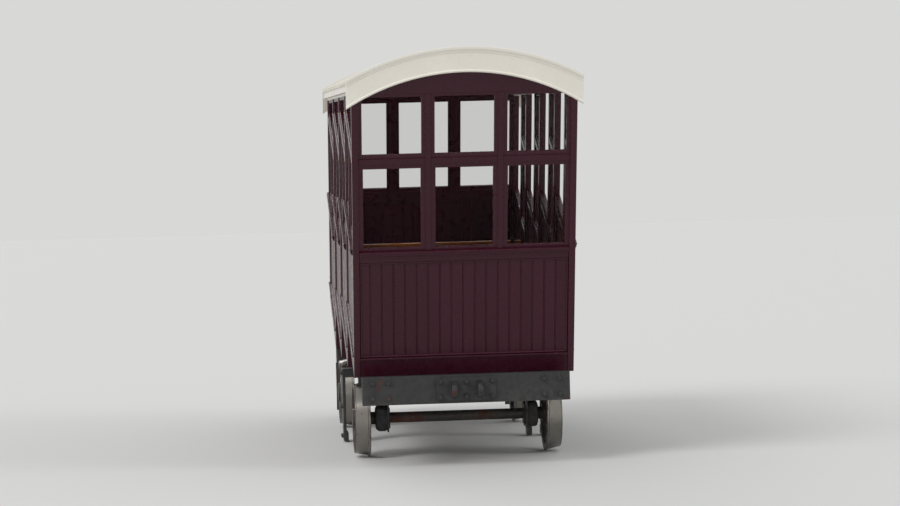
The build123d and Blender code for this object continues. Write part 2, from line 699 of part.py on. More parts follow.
# Hinge pins on the posts, each with two knuckles and a plate
with BuildPart() as hinge_pins:
    for bay in range(BAYS):
        hinge_h = bay * BAY_DEPTH + POST_HALF + DOOR_GAP / 2
        plate_edge = hinge_h - HINGE_KNUCKLE_R - KNUCKLE_LAND
        for height in HINGE_HEIGHTS:
            foot = bay * BAY_RISE + height - HINGE_LENGTH / 2
            knuckle = (HINGE_LENGTH - STRAP_HEIGHT) / 2 - KNUCKLE_GAP
            with BuildSketch(deck_plane(foot)):
                with Locations((hinge_h, HALF + HINGE_OFFSET)):
                    Circle(HINGE_PIN_R)
            extrude(amount=HINGE_LENGTH)
            with BuildSketch(deck_plane(foot)):
                bar(hinge_h - PLATE_WIDTH, plate_edge, HALF, HALF + HINGE_PLATE)
            extrude(amount=HINGE_LENGTH)
            for start in (foot, foot + HINGE_LENGTH - knuckle):
                with BuildSketch(deck_plane(start)):
                    with Locations((hinge_h, HALF + HINGE_OFFSET)):
                        Circle(HINGE_KNUCKLE_R)
                    bar(plate_edge, hinge_h - PLATE_GAP, HALF, HALF + HINGE_OFFSET)
                extrude(amount=knuckle)
save(hinge_pins, "hinge_pins")

# Grab handles on the door posts
with BuildPart() as grab_handles:
    for bay in range(BAYS):
        middle = bay * BAY_DEPTH + (DOOR_POST[0] + DOOR_POST[1]) / 2
        low = bay * BAY_RISE + GRAB_LOW
        high = low + GRAB_LENGTH
        out = HALF + GRAB_REACH
        bow = out - GRAB_BEND
        with BuildLine(end_plane(middle)) as grab_path:
            Polyline(
                (HALF, low),
                (bow, low),
                (out, low + GRAB_BEND),
                (out, high - GRAB_BEND),
                (bow, high),
                (HALF, high),
            )
        with BuildSketch(Plane(origin=grab_path.line @ 0, z_dir=grab_path.line % 0)):
            Circle(GRAB_RADIUS)
        sweep(transition=Transition.RIGHT)
save(grab_handles, "grab_handles")

# Benches: cast irons with an arched brace, seat slats and back slats
SEAT_BACK = SEAT_FRONT + SEAT_SLATS * SEAT_SLAT[0] + (SEAT_SLATS - 1) * SLAT_GAP
IRON_TOP = SEAT_HEIGHT - SEAT_SLAT[1]
BACK_TAN = math.tan(math.radians(BACK_LEAN))
BACK_TOP = IRON_TOP + BACK_START + BACK_SLATS * (BACK_SLAT[0] + BACK_GAP)
LEG_FRONT = SEAT_FRONT + LEG_SETBACK
LEG_BACK = SEAT_BACK + BACK_SLAT[1] - LEG_WIDTH
BRACE_RADIUS = (LEG_BACK - LEG_FRONT - LEG_WIDTH) / 2 + LEG_WIDTH / 4


def iron_outline():
    """Legs, seat bar and back upright of one bench iron, in the sketch that is open."""
    for leg in (LEG_FRONT, LEG_BACK):
        bar(leg, leg + LEG_WIDTH, 0, IRON_TOP)
        foot = ((leg - FOOT_FLARE, 0), (leg + LEG_WIDTH + FOOT_FLARE, 0), (leg + LEG_WIDTH / 2, FOOT_RISE))
        Polygon(*foot, align=None)
    bar(LEG_FRONT, LEG_BACK + LEG_WIDTH, IRON_TOP - LEG_WIDTH, IRON_TOP)
    face = SEAT_BACK + BACK_SLAT[1]
    lean = (BACK_TOP - IRON_TOP) * BACK_TAN
    upright = (
        (face, IRON_TOP - LEG_WIDTH),
        (face + LEG_WIDTH, IRON_TOP - LEG_WIDTH),
        (face + lean + LEG_WIDTH / 2, BACK_TOP),
        (face + lean, BACK_TOP),
        (face, IRON_TOP),
    )
    Polygon(*upright, align=None)


with BuildPart() as bench_irons:
    for across in (-BENCH_IRON_PLACE, 0.0, BENCH_IRON_PLACE):
        with BuildSketch(side_plane(across + BENCH_IRON / 2)):
            for bay in range(BAYS):
                brace = (bay * BAY_DEPTH + (LEG_FRONT + LEG_BACK + LEG_WIDTH) / 2, bay * BAY_RISE + IRON_TOP)
                with Locations((brace[0], brace[1] - BRACE_RADIUS)):
                    Circle(BRACE_RADIUS)
                    Circle(BRACE_RADIUS - LEG_WIDTH / 2, mode=Mode.SUBTRACT)
                    with Locations((0, -BRACE_RADIUS)):
                        Rectangle(2 * BRACE_RADIUS, 2 * BRACE_RADIUS, mode=Mode.SUBTRACT)
            for bay in range(BAYS):
                with Locations((bay * BAY_DEPTH, bay * BAY_RISE)):
                    iron_outline()
        extrude(amount=BENCH_IRON)
save(bench_irons, "bench_irons")

with BuildPart() as seat_slats:
    with BuildSketch(side_plane(BENCH_HALF)):
        for bay in range(BAYS):
            for slat in range(SEAT_SLATS):
                near = bay * BAY_DEPTH + SEAT_FRONT + slat * (SEAT_SLAT[0] + SLAT_GAP)
                top = bay * BAY_RISE + SEAT_HEIGHT
                bar(near, near + SEAT_SLAT[0], top - SEAT_SLAT[1], top)
    extrude(amount=2 * BENCH_HALF)
save(seat_slats, "seat_slats")

with BuildPart() as back_slats:
    with BuildSketch(side_plane(BENCH_HALF)):
        for bay in range(BAYS):
            for slat in range(BACK_SLATS):
                low = IRON_TOP + BACK_START + slat * (BACK_SLAT[0] + BACK_GAP)
                face = SEAT_BACK + BACK_SLAT[1] + (low - IRON_TOP) * BACK_TAN
                shift = BACK_SLAT[0] * BACK_TAN
                corners = (
                    (face - BACK_SLAT[1], low),
                    (face, low),
                    (face + shift, low + BACK_SLAT[0]),
                    (face + shift - BACK_SLAT[1], low + BACK_SLAT[0]),
                )
                with Locations((bay * BAY_DEPTH, bay * BAY_RISE)):
                    Polygon(*corners, align=None)
    extrude(amount=2 * BENCH_HALF)
save(back_slats, "back_slats")

# Axles and spoked wheels, named by their end and side
BACK_Y = GAUGE / 2 - GAUGE_PLAY - FLANGE_THICK
FACE_Y = BACK_Y + WHEEL_WIDTH
HUB_Y = (BACK_Y + FACE_Y - HUB_LENGTH) / 2
JOURNAL_END = SOLE_CENTRE + BOX_THICK / 2 + SEAT_SHOULDER
for axle_x, end in zip(AXLE_X, ("lower", "upper")):
    with BuildPart() as axle:
        with BuildSketch(long_plane(JOURNAL_END, axle_x, AXLE_Z)):
            Circle(AXLE_RADIUS)
        extrude(amount=2 * JOURNAL_END)
        for side in (-1, 1):
            with BuildSketch(long_plane(side * JOURNAL_END, axle_x, AXLE_Z)):
                Circle(WHEEL_SEAT_RADIUS)
            extrude(amount=-side * (HUB_Y + HUB_LENGTH - JOURNAL_END))
    save(axle, f"axle_{end}")

    for side, name in ((-1, "track_side"), (1, "platform_side")):
        with BuildPart() as wheel:
            with BuildSketch(Plane(origin=(axle_x, 0, AXLE_Z), x_dir=(0, side, 0), z_dir=(side, 0, 0))):
                tyre = (
                    (BACK_Y, RIM_RADIUS),
                    (BACK_Y, AXLE_Z - FLANGE_TIP),
                    (BACK_Y + FLANGE_TIP_WIDTH / 2, AXLE_Z),
                    (BACK_Y + FLANGE_TIP_WIDTH, AXLE_Z - FLANGE_TIP),
                    (BACK_Y + FLANGE_THICK, TREAD_RADIUS),
                    (FACE_Y, TREAD_RADIUS - TREAD_CONE),
                    (FACE_Y, RIM_RADIUS),
                )
                Polygon(*tyre, align=None)
                bar(HUB_Y, HUB_Y + HUB_LENGTH, WHEEL_SEAT_RADIUS, HUB_RADIUS)
            revolve(axis=Axis((axle_x, 0, AXLE_Z), (0, 1, 0)))
            spoke_y = side * (BACK_Y + FACE_Y) / 2 + SPOKE_THICK / 2
            with BuildSketch(long_plane(spoke_y, axle_x, AXLE_Z)):
                with PolarLocations(0, SPOKES):
                    spoke = (
                        (HUB_RADIUS - SPOKE_ROOT, -SPOKE_WIDE),
                        (RIM_RADIUS + SPOKE_ROOT, -SPOKE_NARROW),
                        (RIM_RADIUS + SPOKE_ROOT, SPOKE_NARROW),
                        (HUB_RADIUS - SPOKE_ROOT, SPOKE_WIDE),
                    )
                    Polygon(*spoke, align=None)
            extrude(amount=SPOKE_THICK)
        save(wheel, f"wheel_{end}_{name}")

# Axle boxes with a neck between the guards, bored for the journals
with BuildPart() as axle_boxes:
    for axle_x in AXLE_X:
        for side in (-1, 1):
            with BuildSketch(long_plane(side * SOLE_CENTRE + BOX_THICK / 2, axle_x, AXLE_Z)):
                RectangleRounded(2 * BOX_HALF, 2 * BOX_HALF, BOX_CORNER)
            extrude(amount=BOX_THICK)
            with BuildSketch(long_plane(side * (SOLE_CENTRE - BOX_THICK / 2), axle_x, AXLE_Z)):
                Rectangle(2 * BOX_NECK_HALF, 2 * BOX_NECK_HALF)
            extrude(amount=side * BOX_NECK)
        with BuildSketch(long_plane(BODY_WIDTH, axle_x, AXLE_Z)):
            Circle(AXLE_RADIUS + JOURNAL_CLEARANCE)
        extrude(amount=2 * BODY_WIDTH, mode=Mode.SUBTRACT)
save(axle_boxes, "axle_boxes")

# Axle guards on the inner faces of the sole bars, each with a slot for its box and a keep below
with BuildPart() as axle_guards:
    for axle_x in AXLE_X:
        for side in (-1, 1):
            guard_y = side * (SOLE_INNER - GUARD_THICK / 2) + GUARD_THICK / 2
            slot_half = BOX_NECK_HALF + GUARD_SLOT_GAP
            slot_low = AXLE_Z - slot_half
            with BuildSketch(long_plane(guard_y, axle_x)):
                outline = (
                    (-GUARD_FOOT_HALF, slot_low - GUARD_KEEP),
                    (GUARD_FOOT_HALF, slot_low - GUARD_KEEP),
                    (GUARD_TOP_HALF, SOLE_BOTTOM),
                    (GUARD_TOP_HALF, SOLE_TOP - CROSS_INSET),
                    (-GUARD_TOP_HALF, SOLE_TOP - CROSS_INSET),
                    (-GUARD_TOP_HALF, SOLE_BOTTOM),
                )
                Polygon(*outline, align=None)
                bar(-slot_half, slot_half, slot_low, AXLE_Z + slot_half + SPRING_CAMBER, mode=Mode.SUBTRACT)
            extrude(amount=GUARD_THICK)
save(axle_guards, "axle_guards")

# Leaf springs between the axle boxes and the sole bars, each with its buckle and shoes
with BuildPart() as leaf_spring:
    leaf_top = AXLE_Z + BOX_HALF + BUCKLE_WALL + LEAVES * LEAF_THICK
    leaf_radius = (SPRING_HALF_SPAN ** 2 + SPRING_CAMBER ** 2) / (2 * SPRING_CAMBER)
    for leaf in range(LEAVES):
        half_span = SPRING_HALF_SPAN - leaf * LEAF_STEP
        with BuildSketch(long_plane(LEAF_WIDTH / 2)):
            with Locations((0, leaf_top + leaf_radius)):
                Circle(leaf_radius + (leaf + 1) * LEAF_THICK)
                Circle(leaf_radius + leaf * LEAF_THICK, mode=Mode.SUBTRACT)
            bar(-half_span, half_span, 0, SOLE_BOTTOM, mode=Mode.INTERSECT)
        extrude(amount=LEAF_WIDTH)
    with BuildSketch(long_plane(LEAF_WIDTH / 2 + BUCKLE_WALL / 2)):
        bar(-BUCKLE_HALF, BUCKLE_HALF, AXLE_Z + BOX_HALF, leaf_top + BUCKLE_WALL)
    extrude(amount=LEAF_WIDTH + BUCKLE_WALL)
    with BuildSketch(long_plane(LEAF_WIDTH / 2)):
        for side in (-1, 1):
            shoe = side * (SPRING_HALF_SPAN - SHOE_HALF)
            bar(shoe - SHOE_HALF, shoe + SHOE_HALF, leaf_top + SPRING_CAMBER - SHOE_THICK, SOLE_BOTTOM)
    extrude(amount=LEAF_WIDTH)

with BuildPart() as leaf_springs:
    for axle_x in AXLE_X:
        with Locations((axle_x, -SOLE_CENTRE, 0), (axle_x, SOLE_CENTRE, 0)):
            add(leaf_spring.part)
save(leaf_springs, "leaf_springs")

# Rope anchor: a plate on the uphill headstock with an eye for each haul rope
ANCHOR_X = SOLE_HIGH + BEAM_THICK
EYE_X = ANCHOR_X + EYE_REACH
with BuildPart() as rope_anchor:
    with BuildSketch(cross_plane(ANCHOR_X)):
        bar(-ANCHOR_HALF_WIDTH, ANCHOR_HALF_WIDTH, BEAM_Z - ANCHOR_HALF_HEIGHT, BEAM_Z + ANCHOR_HALF_HEIGHT)
    extrude(amount=ANCHOR_PLATE)
    chamfer(rope_anchor.edges().filter_by(Axis.X), ANCHOR_PLATE)
    for side in (-1, 1):
        eye_y = side * ROPE_SPACING / 2 + EYE_THICK / 2
        with BuildSketch(long_plane(eye_y, EYE_X, BEAM_Z)):
            Circle(EYE_OUTER)
            root = ((-EYE_REACH, -EYE_ROOT), (0, -EYE_OUTER), (0, EYE_OUTER), (-EYE_REACH, EYE_ROOT))
            Polygon(*root, align=None)
            Circle(EYE_RADIUS, mode=Mode.SUBTRACT)
        extrude(amount=EYE_THICK)
save(rope_anchor, "rope_anchor")

# Buffers on the downhill headstock
with BuildPart() as buffers:
    for side in (-1, 1):
        stock = Plane(
            origin=(SOLE_LOW - BEAM_THICK, side * BUFFER_SPACING / 2, BEAM_Z),
            x_dir=(-1, 0, 0),
            z_dir=(0, 1, 0),
        )
        with BuildSketch(stock):
            section = (
                (0, 0),
                (BUFFER_LENGTH, 0),
                (BUFFER_LENGTH, BUFFER_HEAD_RADIUS / 2),
                (BUFFER_LENGTH - BUFFER_CROWN, BUFFER_HEAD_RADIUS),
                (BUFFER_LENGTH - BUFFER_HEAD_THICK, BUFFER_HEAD_RADIUS),
                (BUFFER_LENGTH - BUFFER_HEAD_THICK, BUFFER_RAM),
                (BUFFER_STOCK, BUFFER_RAM),
                (BUFFER_STOCK, BUFFER_MOUTH),
                (BUFFER_FLANGE, BUFFER_ROOT),
                (BUFFER_FLANGE, BUFFER_FLANGE_RADIUS),
                (0, BUFFER_FLANGE_RADIUS),
            )
            Polygon(*section, align=None)
        revolve(axis=Axis(stock.origin, stock.x_dir))
save(buffers, "buffers")

# Safety brakes: a caliper over each rail head, hung from a sole bar midway between the axles
RAIL_INNER = GAUGE / 2
RAIL_OUTER = RAIL_INNER + RAIL_HEAD_WIDTH
BRAKE_X = (SOLE_LOW + SOLE_HIGH) / 2
with BuildPart() as rail_brakes:
    for side in (-1, 1):
        with BuildSketch(cross_plane(BRAKE_X - BRAKE_LENGTH / 2)):
            inner_jaw = RAIL_INNER - BRAKE_CLEARANCE
            outer_jaw = RAIL_OUTER + BRAKE_CLEARANCE
            outline = (
                (side * (SOLE_INNER + SOLE_WEB), BRAKE_BEAM_LOW),
                (side * (inner_jaw - BRAKE_ARM), BRAKE_BEAM_LOW),
                (side * (inner_jaw - BRAKE_ARM), BRAKE_FLOOR),
                (side * inner_jaw, BRAKE_FLOOR),
                (side * inner_jaw, BRAKE_FLOOR + BRAKE_JAW),
                (side * (inner_jaw - BRAKE_STEP), BRAKE_FLOOR + BRAKE_JAW + BRAKE_STEP),
                (side * (inner_jaw - BRAKE_STEP), BRAKE_BEAM_LOW),
                (side * (outer_jaw + BRAKE_STEP), BRAKE_BEAM_LOW),
                (side * (outer_jaw + BRAKE_STEP), BRAKE_FLOOR + BRAKE_JAW + BRAKE_STEP),
                (side * outer_jaw, BRAKE_FLOOR + BRAKE_JAW),
                (side * outer_jaw, BRAKE_FLOOR),
                (side * (outer_jaw + BRAKE_ARM), BRAKE_FLOOR),
                (side * (outer_jaw + BRAKE_ARM), BRAKE_BEAM_LOW + BRAKE_BEAM),
                (side * (SOLE_INNER + SOLE_WEB), BRAKE_BEAM_LOW + BRAKE_BEAM),
            )
            Polygon(*outline, align=None)
        extrude(amount=BRAKE_LENGTH)
save(rail_brakes, "rail_brakes")

# Rail guards under the ends of the downhill headstock
with BuildPart() as rail_guards:
    for side in (-1, 1):
        guard_y = side * (RAIL_INNER + RAIL_OUTER) / 2 + RAIL_GUARD_WIDTH / 2
        with BuildSketch(long_plane(guard_y, SOLE_LOW - BEAM_THICK)):
            outline = (
                (RAIL_GUARD_SET, BEAM_Z - BEAM_DEPTH / 2),
                (RAIL_GUARD_SET, RAIL_GUARD_KNEE),
                (0, RAIL_GUARD_FLOOR),
                (RAIL_GUARD_THICK, RAIL_GUARD_FLOOR),
                (RAIL_GUARD_SET + RAIL_GUARD_THICK, RAIL_GUARD_KNEE),
                (RAIL_GUARD_SET + RAIL_GUARD_THICK, BEAM_Z - BEAM_DEPTH / 2),
            )
            Polygon(*outline, align=None)
        extrude(amount=RAIL_GUARD_WIDTH)
save(rail_guards, "rail_guards")
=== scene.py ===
"""Dressed model of a stepped funicular car, built over its solids in the same frame.

X runs uphill along the slope, Z stands square off it and Y points to the left of the climb.
The body is plumb on its slope, so its posts lean uphill here. Sizes are in metres.
"""

import logging
import math
from dataclasses import dataclass
from enum import Enum

import bmesh
import bpy
import numpy as np
from mathutils import Matrix, Vector
from numpy.typing import ArrayLike


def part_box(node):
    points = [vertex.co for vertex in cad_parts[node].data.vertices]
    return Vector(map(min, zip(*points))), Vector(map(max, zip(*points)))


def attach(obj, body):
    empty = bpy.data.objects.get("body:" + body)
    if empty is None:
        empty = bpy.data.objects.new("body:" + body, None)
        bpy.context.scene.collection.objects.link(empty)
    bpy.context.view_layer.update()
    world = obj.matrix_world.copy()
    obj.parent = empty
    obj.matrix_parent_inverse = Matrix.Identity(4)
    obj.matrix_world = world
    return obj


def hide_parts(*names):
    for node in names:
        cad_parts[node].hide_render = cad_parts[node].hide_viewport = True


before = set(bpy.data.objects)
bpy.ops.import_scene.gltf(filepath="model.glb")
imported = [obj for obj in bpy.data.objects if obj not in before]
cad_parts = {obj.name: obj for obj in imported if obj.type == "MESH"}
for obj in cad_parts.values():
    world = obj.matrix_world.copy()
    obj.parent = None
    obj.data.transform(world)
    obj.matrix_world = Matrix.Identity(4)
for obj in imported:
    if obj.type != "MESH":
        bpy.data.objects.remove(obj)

Array = np.ndarray
Point = tuple[float, float, float]
Span = tuple[float, float]
Socket = bpy.types.NodeSocket
Value = Socket | float | tuple[float, ...]

LOG = logging.getLogger("funicular_car")
RANDOM = np.random.default_rng(20)
BOTH = np.array((-1, 1))
ROUND = 2 * math.pi
QUARTER = math.pi / 2
DIAGONALS = np.radians((45.0, 135.0, 225.0, 315.0))
THIRDS = np.radians((90.0, 210.0, 330.0))
SHARP_ANGLE = math.radians(50.0)


class Slot(Enum):
    """Material slots of the record."""

    MAROON = "maroon_paint"
    CREAM = "cream_paint"
    CANVAS = "roof_canvas"
    FLOOR = "floor_boards"
    SEAT = "seat_wood"
    BLACK = "frame_black"
    CASTING = "iron_casting"
    SPRING = "spring_steel"
    WHEEL = "wheel_steel"
    BRASS = "brass_fittings"
    GLASS = "window_glass"


class Texture(Enum):
    """Relief of a painted surface, in millimetres between its marks on each axis."""

    BRUSHED = (4.0, 4.0, 140.0)
    CAST = (4.5, 4.5, 4.5)


class Side(Enum):
    """Long sides of the car, by the sign of their Y."""

    TRACK = -1
    PLATFORM = 1

    @property
    def label(self) -> str:
        """What the names of pieces call it."""
        return f"{self.name.lower()}_side"


class End(Enum):
    """Ends of the car, by the sign of their X."""

    LOWER = -1
    UPPER = 1

    @property
    def label(self) -> str:
        """What the names of pieces call it."""
        return self.name.lower()


# Places: the frames in which sub-assemblies are drawn


@dataclass(frozen=True)
class Frame:
    """Directions u, v and w from an origin."""

    origin: Point
    u: Point
    v: Point
    w: Point

    def place(self, local: Array) -> Array:
        """World points of local ones."""
        return np.asarray(self.origin) + local @ np.array([self.u, self.v, self.w])


@dataclass(frozen=True)
class Layout:
    """Main sizes of the car, equal to those of the solids."""

    slope: float = math.radians(20.0)
    bays: int = 4
    depth: float = 1.1
    half: float = 0.85
    wall: float = 0.05
    post_half: float = 0.035
    headroom: float = 1.9
    cant_depth: float = 0.096
    joist_bottom: float = -0.098
    sole_start: float = 0.24
    sole_bottom: float = 0.517
    sole_top: float = 0.697
    headstock: float = 0.08
    floor_z: float = 1.180693
    arch_z: float = 1.350870
    ceiling_radius: float = 1.825238
    roof_thick: float = 0.024
    eaves_half: float = 0.89
    axle_z: float = 0.308

    @property
    def sole_low(self) -> float:
        """Downhill end of the sole bars."""
        return float(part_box("sole_bars")[0][0])

    @property
    def sole_high(self) -> float:
        """Uphill end of the sole bars."""
        return float(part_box("sole_bars")[1][0])

    @property
    def sole_middle(self) -> float:
        """Middle of the sole bars' length."""
        return (self.sole_low + self.sole_high) / 2

    @property
    def origin_x(self) -> float:
        """Place of the lowest floor's edge."""
        return self.sole_low + self.sole_start

    @property
    def axle_x(self) -> tuple[float, ...]:
        """Places of both axles, the lower one first."""
        boxes = [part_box(f"axle_{end.label}") for end in End]
        return tuple(float(low[0] + high[0]) / 2 for low, high in boxes)

    @property
    def rise(self) -> float:
        """Step from one floor to the next."""
        return self.depth * math.tan(self.slope)

    @property
    def length(self) -> float:
        """Level length of the body."""
        return self.bays * self.depth

    @property
    def inner(self) -> float:
        """Half the width between the side walls."""
        return self.half - self.wall

    @property
    def beam_z(self) -> float:
        """Height of the headstocks' middle."""
        return (self.sole_bottom + self.sole_top) / 2

    @property
    def level(self) -> Point:
        """Level direction uphill."""
        return (math.cos(self.slope), 0.0, -math.sin(self.slope))

    @property
    def upright(self) -> Point:
        """Straight up on the slope."""
        return (math.sin(self.slope), 0.0, math.cos(self.slope))

    def spot(self, level: float, up: float, across: float = 0.0) -> Point:
        """Point seen from the lowest floor's edge.

        Args:
            level: level distance uphill.
            up: distance straight up.
            across: distance to the left.

        Returns:
            The point along, across and square off the slope.
        """
        x = self.origin_x + level * math.cos(self.slope) + up * math.sin(self.slope)
        z = self.floor_z - level * math.sin(self.slope) + up * math.cos(self.slope)
        return (x, across, z)

    def cant_line(self, level: float) -> float:
        """Height of the cant rail's underside at a level distance uphill."""
        return self.headroom - self.cant_depth + level * math.tan(self.slope)

    def body(self) -> Frame:
        """Frame of the plumb body: u level, v across, w up."""
        return Frame(self.spot(0, 0), self.level, (0.0, 1.0, 0.0), self.upright)

    def side(self, side: Side) -> Frame:
        """Outer face of a side wall: u level, v up, w outwards."""
        face = self.spot(0, 0, side.value * self.half)
        return Frame(face, self.level, self.upright, (0.0, float(side.value), 0.0))

    def end(self, level: float, end: End) -> Frame:
        """Plumb cross plane at a level place: u across, v up, w outwards."""
        out = (end.value * self.level[0], 0.0, end.value * self.level[2])
        return Frame(self.spot(level, 0), (0.0, 1.0, 0.0), self.upright, out)

    def arch(self, radius: Array, level: Array, half: float, count: int = 64) -> Array:
        """Arches of the roof in plumb cross planes.

        The roof is a cylinder along the slope. A point at angle t on it lies at
        (radius sin t, arch_z + radius cos t) across the car, and its height in the
        plumb plane is that height over the floor, plus level sin slope, over cos slope.

        Args:
            radius: radius of each cylinder.
            level: place of each plane.
            half: half the width that the arches span.
            count: points along each.

        Returns:
            Points (count, n, 2) from right to left, across and up.
        """
        turn = np.linspace(-1.0, 1.0, count)[:, None] * np.arcsin(half / radius)
        over_floor = self.arch_z + radius * np.cos(turn) - self.floor_z
        height = (over_floor + level * math.sin(self.slope)) / math.cos(self.slope)
        return np.stack([radius * np.sin(turn), height], -1)


CAR = Layout()
INCLINE = Frame((0.0, 0.0, 0.0), (1.0, 0.0, 0.0), (0.0, 1.0, 0.0), (0.0, 0.0, 1.0))


# Finishes: what each surface is made of


def linear(code: str) -> tuple[float, float, float, float]:
    """Linear colour of an sRGB hex code.

    Args:
        code: six hex digits.

    Returns:
        Red, green, blue and alpha.
    """
    levels = [int(code[i:i + 2], 16) / 255 for i in (0, 2, 4)]
    values = [c / 12.92 if c <= 0.04045 else ((c + 0.055) / 1.055) ** 2.4 for c in levels]
    return (*values, 1.0)


class Node(Enum):
    """Nodes that the finishes use: type, settings, inputs in the order given, and output."""

    PLACE = ("TexCoord", {}, (), "Object")
    FACING = ("TexCoord", {}, (), "Normal")
    VALUE = ("Attribute", {}, (), "Fac")
    VECTOR = ("Attribute", {}, (), "Vector")
    AXES = ("SeparateXYZ", {}, (0,), 0)
    STRETCH = ("VectorMath", {"operation": "MULTIPLY"}, (0, 1), 0)
    NOISE = ("TexNoise", {}, ("Vector", "Detail", "Distortion", "Scale", "Roughness"), "Fac")
    STEP = ("MapRange", {"interpolation_type": "SMOOTHSTEP"}, (0, 1, 2, 3, 4), 0)
    BLEND = ("Mix", {"data_type": "RGBA"}, (0, 6, 7), 2)
    TONE = ("HueSaturation", {}, ("Color", "Value"), 0)
    TIMES = ("Math", {"operation": "MULTIPLY"}, (0, 1), 0)
    PLUS = ("Math", {"operation": "ADD", "use_clamp": True}, (0, 1), 0)
    LESS = ("Math", {"operation": "SUBTRACT", "use_clamp": True}, (0, 1), 0)
    MOST = ("Math", {"operation": "MAXIMUM"}, (0, 1), 0)
    SIZE = ("Math", {"operation": "ABSOLUTE"}, (0,), 0)
    SINE = ("Math", {"operation": "SINE"}, (0,), 0)
    RELIEF = ("Bump", {}, ("Height", "Distance"), 0)
    RAY = ("LightPath", {}, (), "Is Camera Ray")
    GLOW = ("Background", {}, (0, 1), 0)
    EITHER = ("MixShader", {}, (0, 1, 2), 0)


class Graph:
    """Node tree of a material or a world, with one short way to add its nodes."""

    def __init__(self, owner: bpy.types.Material | bpy.types.World) -> None:
        """Takes over the nodes of a new material or world."""
        owner.use_nodes = True
        self.owner, self.tree = owner, owner.node_tree

    def feed(self, socket: Socket, value: Value) -> None:
        """Links or sets an input.

        Args:
            socket: the input.
            value: the output that feeds it, or what it is set to.
        """
        if isinstance(value, Socket):
            self.tree.links.new(value, socket)
        else:
            socket.default_value = value

    def add(
        self, kind: Node, *inputs: Value, output: int | str | None = None, **settings: str
    ) -> Socket:
        """Adds a node with its settings and links.

        Args:
            kind: what it does.
            *inputs: values or sockets for its inputs, in the order that its kind names.
            output: which output is wanted, if not its kind's.
            **settings: further properties of the node.

        Returns:
            The wanted output.
        """
        label, own, slots, first = kind.value
        node = self.tree.nodes.new("ShaderNode" + label)
        for key, value in {**own, **settings}.items():
            setattr(node, key, value)
        for slot, value in zip(slots, inputs):
            self.feed(node.inputs[slot], value)
        return node.outputs[first if output is None else output]

    def patches(
        self, place: Socket, size: float | Point, detail: float = 4.0, distortion: float = 0.0
    ) -> Socket:
        """Uneven patches over a surface.

        Args:
            place: coordinates in metres.
            size: about how far apart they lie on each axis, in millimetres.
            detail: how many finer layers they have.
            distortion: how much they are stirred.

        Returns:
            Values from 0 to 1, mostly near 0.5.
        """
        waves = tuple(1000.0 / np.broadcast_to(size, 3))
        stretched = self.add(Node.STRETCH, place, waves)
        return self.add(Node.NOISE, stretched, detail, distortion, 1.0, 0.6)

    def finish(self, relief: Socket | None, depth: float, **values: Value) -> bpy.types.Material:
        """Completes a material.

        Args:
            relief: height of its surface from 0 to 1, if it has any.
            depth: what a height of 1 is in metres.
            **values: the shader's inputs, spaces in their names written as underscores.

        Returns:
            The material.
        """
        if relief is not None:
            values["Normal"] = self.add(Node.RELIEF, relief, depth)
        for key, value in values.items():
            self.feed(self.tree.nodes["Principled BSDF"].inputs[key.replace("_", " ")], value)
        return self.owner


